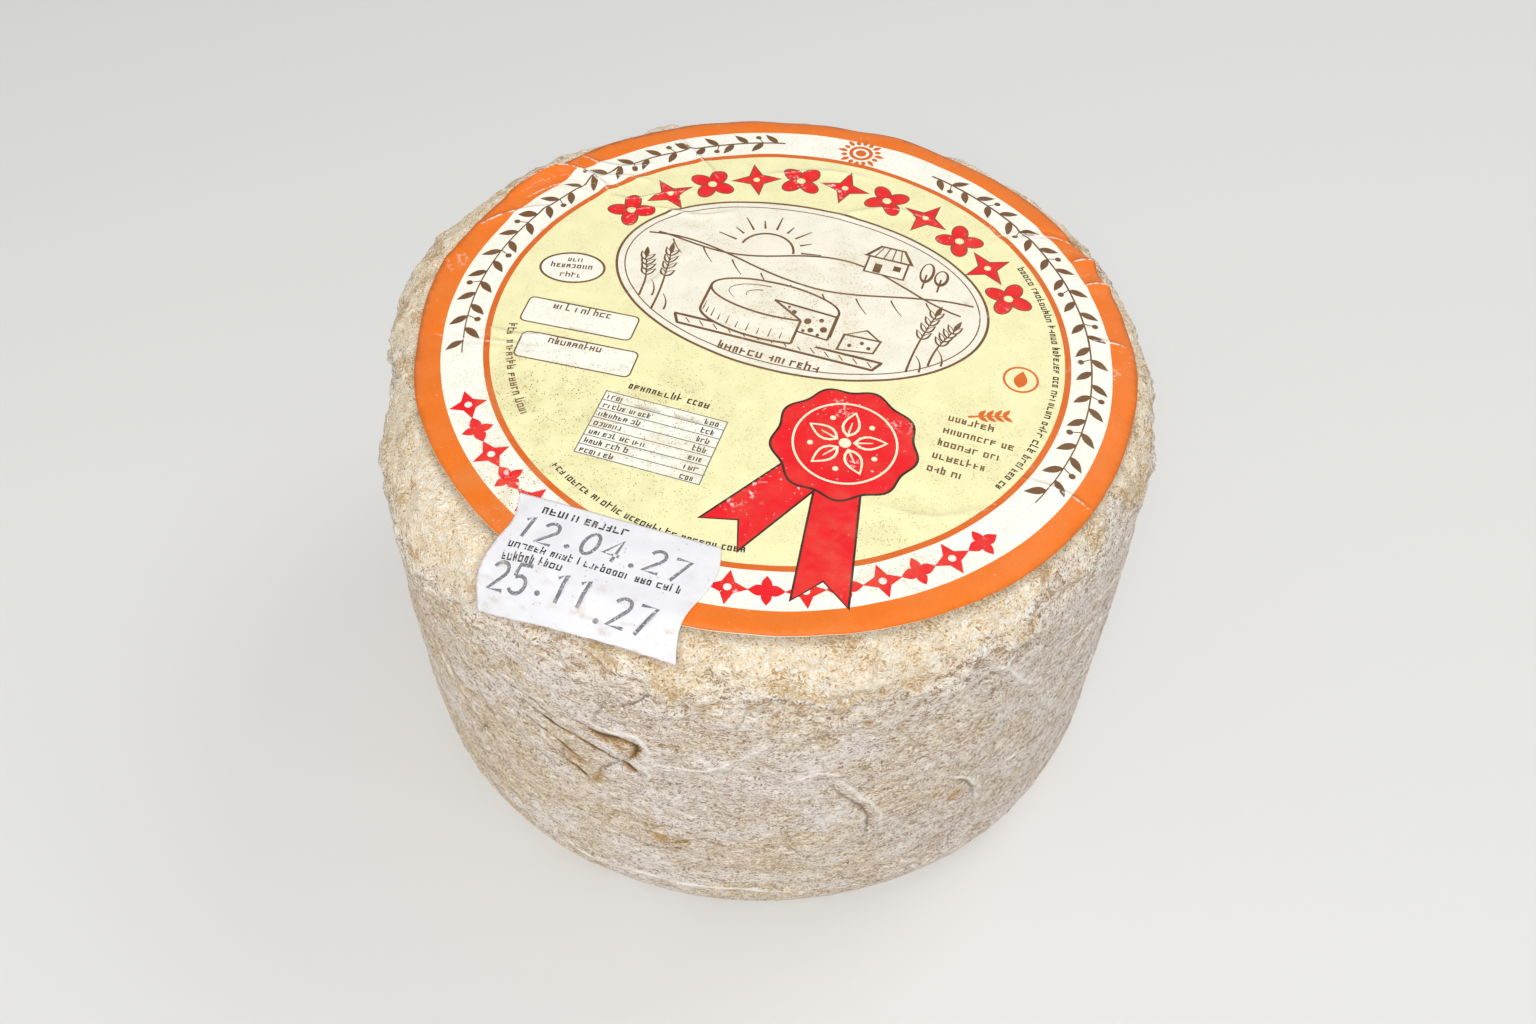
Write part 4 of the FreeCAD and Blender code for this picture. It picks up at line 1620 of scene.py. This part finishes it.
def sticker_height(local, flat):
    """How far the sticker's face stands off the skin: over the label, then down on the rind."""
    radius = np.linalg.norm(flat, axis=1)
    over = smooth_step(label_radius / mm + 2.2, label_radius / mm - 0.4, radius)
    spread = np.stack([local[:, 0] * 0.35, local[:, 1], 0 * radius], 1)
    height = 0.3 + over * (0.04 + label_height(flat))
    height += 0.11 * grain(spread, 2.2, 71) * (1 - 0.5 * over) + 0.05 * grain(spread, 7, 72)
    loose = smooth_step(-half_wide + 2.6, -half_wide, local[:, 1])
    height += loose * (0.32 + 0.22 * grain(spread, 5, 73))
    height += 0.35 * smooth_step(2.5, 0, np.linalg.norm(local - (half_long, -half_wide), axis=1))
    return height + 0.1 * smooth_step(half_long - 1.2, half_long + 0.6, np.abs(local[:, 0]))


def on_sticker(local, below=0.0):
    """Where places of the sticker come to lie, or places that far below its face."""
    flat = turned(local + sticker_middle, sticker_turn)
    return on_skin(flat, sticker_height(local, flat) - below)


sticker_white = paint(228, 227, 231)
sticker_pale = paint(237, 236, 239)
sticker_grime = paint(206, 192, 174)
stamp_grey = paint(122, 122, 131)
print_black = paint(44, 42, 44)


def sticker_paper(name, ink=None):
    """Smooth white sticker paper, bare or under an ink, rubbed and a little dirty."""
    made, place = new_material(name, 0.42, 0.4)
    tree = made.node_tree
    face = use_group(tree, paper_face, Place=place, Rub=0)
    small = use_group(tree, specks, Place=place, Size=1 / (0.5 * mm), Patches=1 / (4 * mm), Amount=0.35)
    colour = face["Shade"].tint(sticker_white, sticker_pale)
    if ink:
        colour = noise(place, 0.3 * mm, 3).ramp(0.74, 0.52).tint(colour, ink)
    smear = noise(place, 3.2 * mm, 4, 3, 0.2).ramp(0.5, 0.78)
    colour = coats(colour, (smear * mask(tree, "soiled"), sticker_grime), (small["Mask"] * 0.35, mould_brown))
    return surface(made, colour, face["Fibre"], 0.25, 0.04 * mm)


def make_sticker():
    """The sticker with its three papers, more soiled toward its lower edge."""
    papers = {
        None: sticker_paper("sticker paper"),
        "stamp": sticker_paper("sticker stamp", stamp_grey),
        "sticker print": sticker_paper("sticker print", print_black),
    }
    piece, places = paper_piece(
        "sticker", sticker_outline(), sticker_shapes, sticker_steps, on_sticker,
        lambda local: on_sticker(local, sticker_thick), papers, sticker_under_map)
    mark_points(piece, {"soiled": 0.25 + 0.6 * smooth_step(3, -8, places[:, 1])})
    return piece


sticker = make_sticker()
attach(sticker, "root")
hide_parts("date_sticker")


# ======================================================================================
# The floor, the lights and the camera
# A plain pale floor under soft lamps: one broad lamp above and in front, a smaller one
# from behind, and an even pale sky.  The camera looks down at the front of the wheel.
# ======================================================================================

floor_half = 2.0


def make_floor():
    corners = [(x * floor_half, y * floor_half, 0) for x, y in ((-1, -1), (1, -1), (1, 1), (-1, 1))]
    piece = shape("floor", corners, [(0, 1, 2, 3)], smooth=False)
    made = bpy.data.materials.new("pale floor")
    made.use_nodes = True
    inputs = made.node_tree.nodes["Principled BSDF"].inputs
    inputs["Base Color"].default_value = paint(225, 225, 223)
    inputs["Roughness"].default_value = 0.8
    piece.data.materials.append(made)
    return piece


make_floor()

wheel_middle = Vector((0, 0, wheel_height / 2))


def make_lamp(name, place, size, watts):
    """A round lamp that looks at the middle of the wheel."""
    lamp = bpy.data.lights.new(name, "AREA")
    lamp.shape = "DISK"
    lamp.size = size
    lamp.energy = watts
    made = bpy.data.objects.new(name, lamp)
    bpy.context.scene.collection.objects.link(made)
    made.location = place
    made.rotation_euler = (wheel_middle - Vector(place)).to_track_quat("-Z", "Y").to_euler()


make_lamp("key lamp", (-0.03, -0.65, 0.8), 0.5, 6.2)
make_lamp("back lamp", (0.45, 0.35, 0.7), 0.5, 1.4)

world = bpy.data.worlds.new("soft sky")
world.use_nodes = True
sky = world.node_tree.nodes["Background"].inputs
sky["Color"].default_value = (1, 1, 1, 1)
sky["Strength"].default_value = 0.5
bpy.context.scene.world = world

camera_height = math.radians(51.04)      # how steeply it looks down
camera_roll = math.radians(3.52)
camera_away = 258.6 * mm
camera_aim = Vector((0.298, 1.074, 34.25)) * mm
camera_data = bpy.data.cameras.new("camera")
camera_data.lens = 32.23
camera_data.sensor_width = 36
camera_data.clip_start = 0.01
camera = bpy.data.objects.new("camera", camera_data)
bpy.context.scene.collection.objects.link(camera)
back = Vector((0, -math.cos(camera_height), math.sin(camera_height)))
turn = back.to_track_quat("Z", "Y").to_matrix() @ Matrix.Rotation(camera_roll, 3, "Z")
camera.matrix_world = Matrix.Translation(camera_aim + back * camera_away) @ turn.to_4x4()
bpy.context.scene.camera = camera
bpy.context.scene.view_settings.view_transform = "Standard"
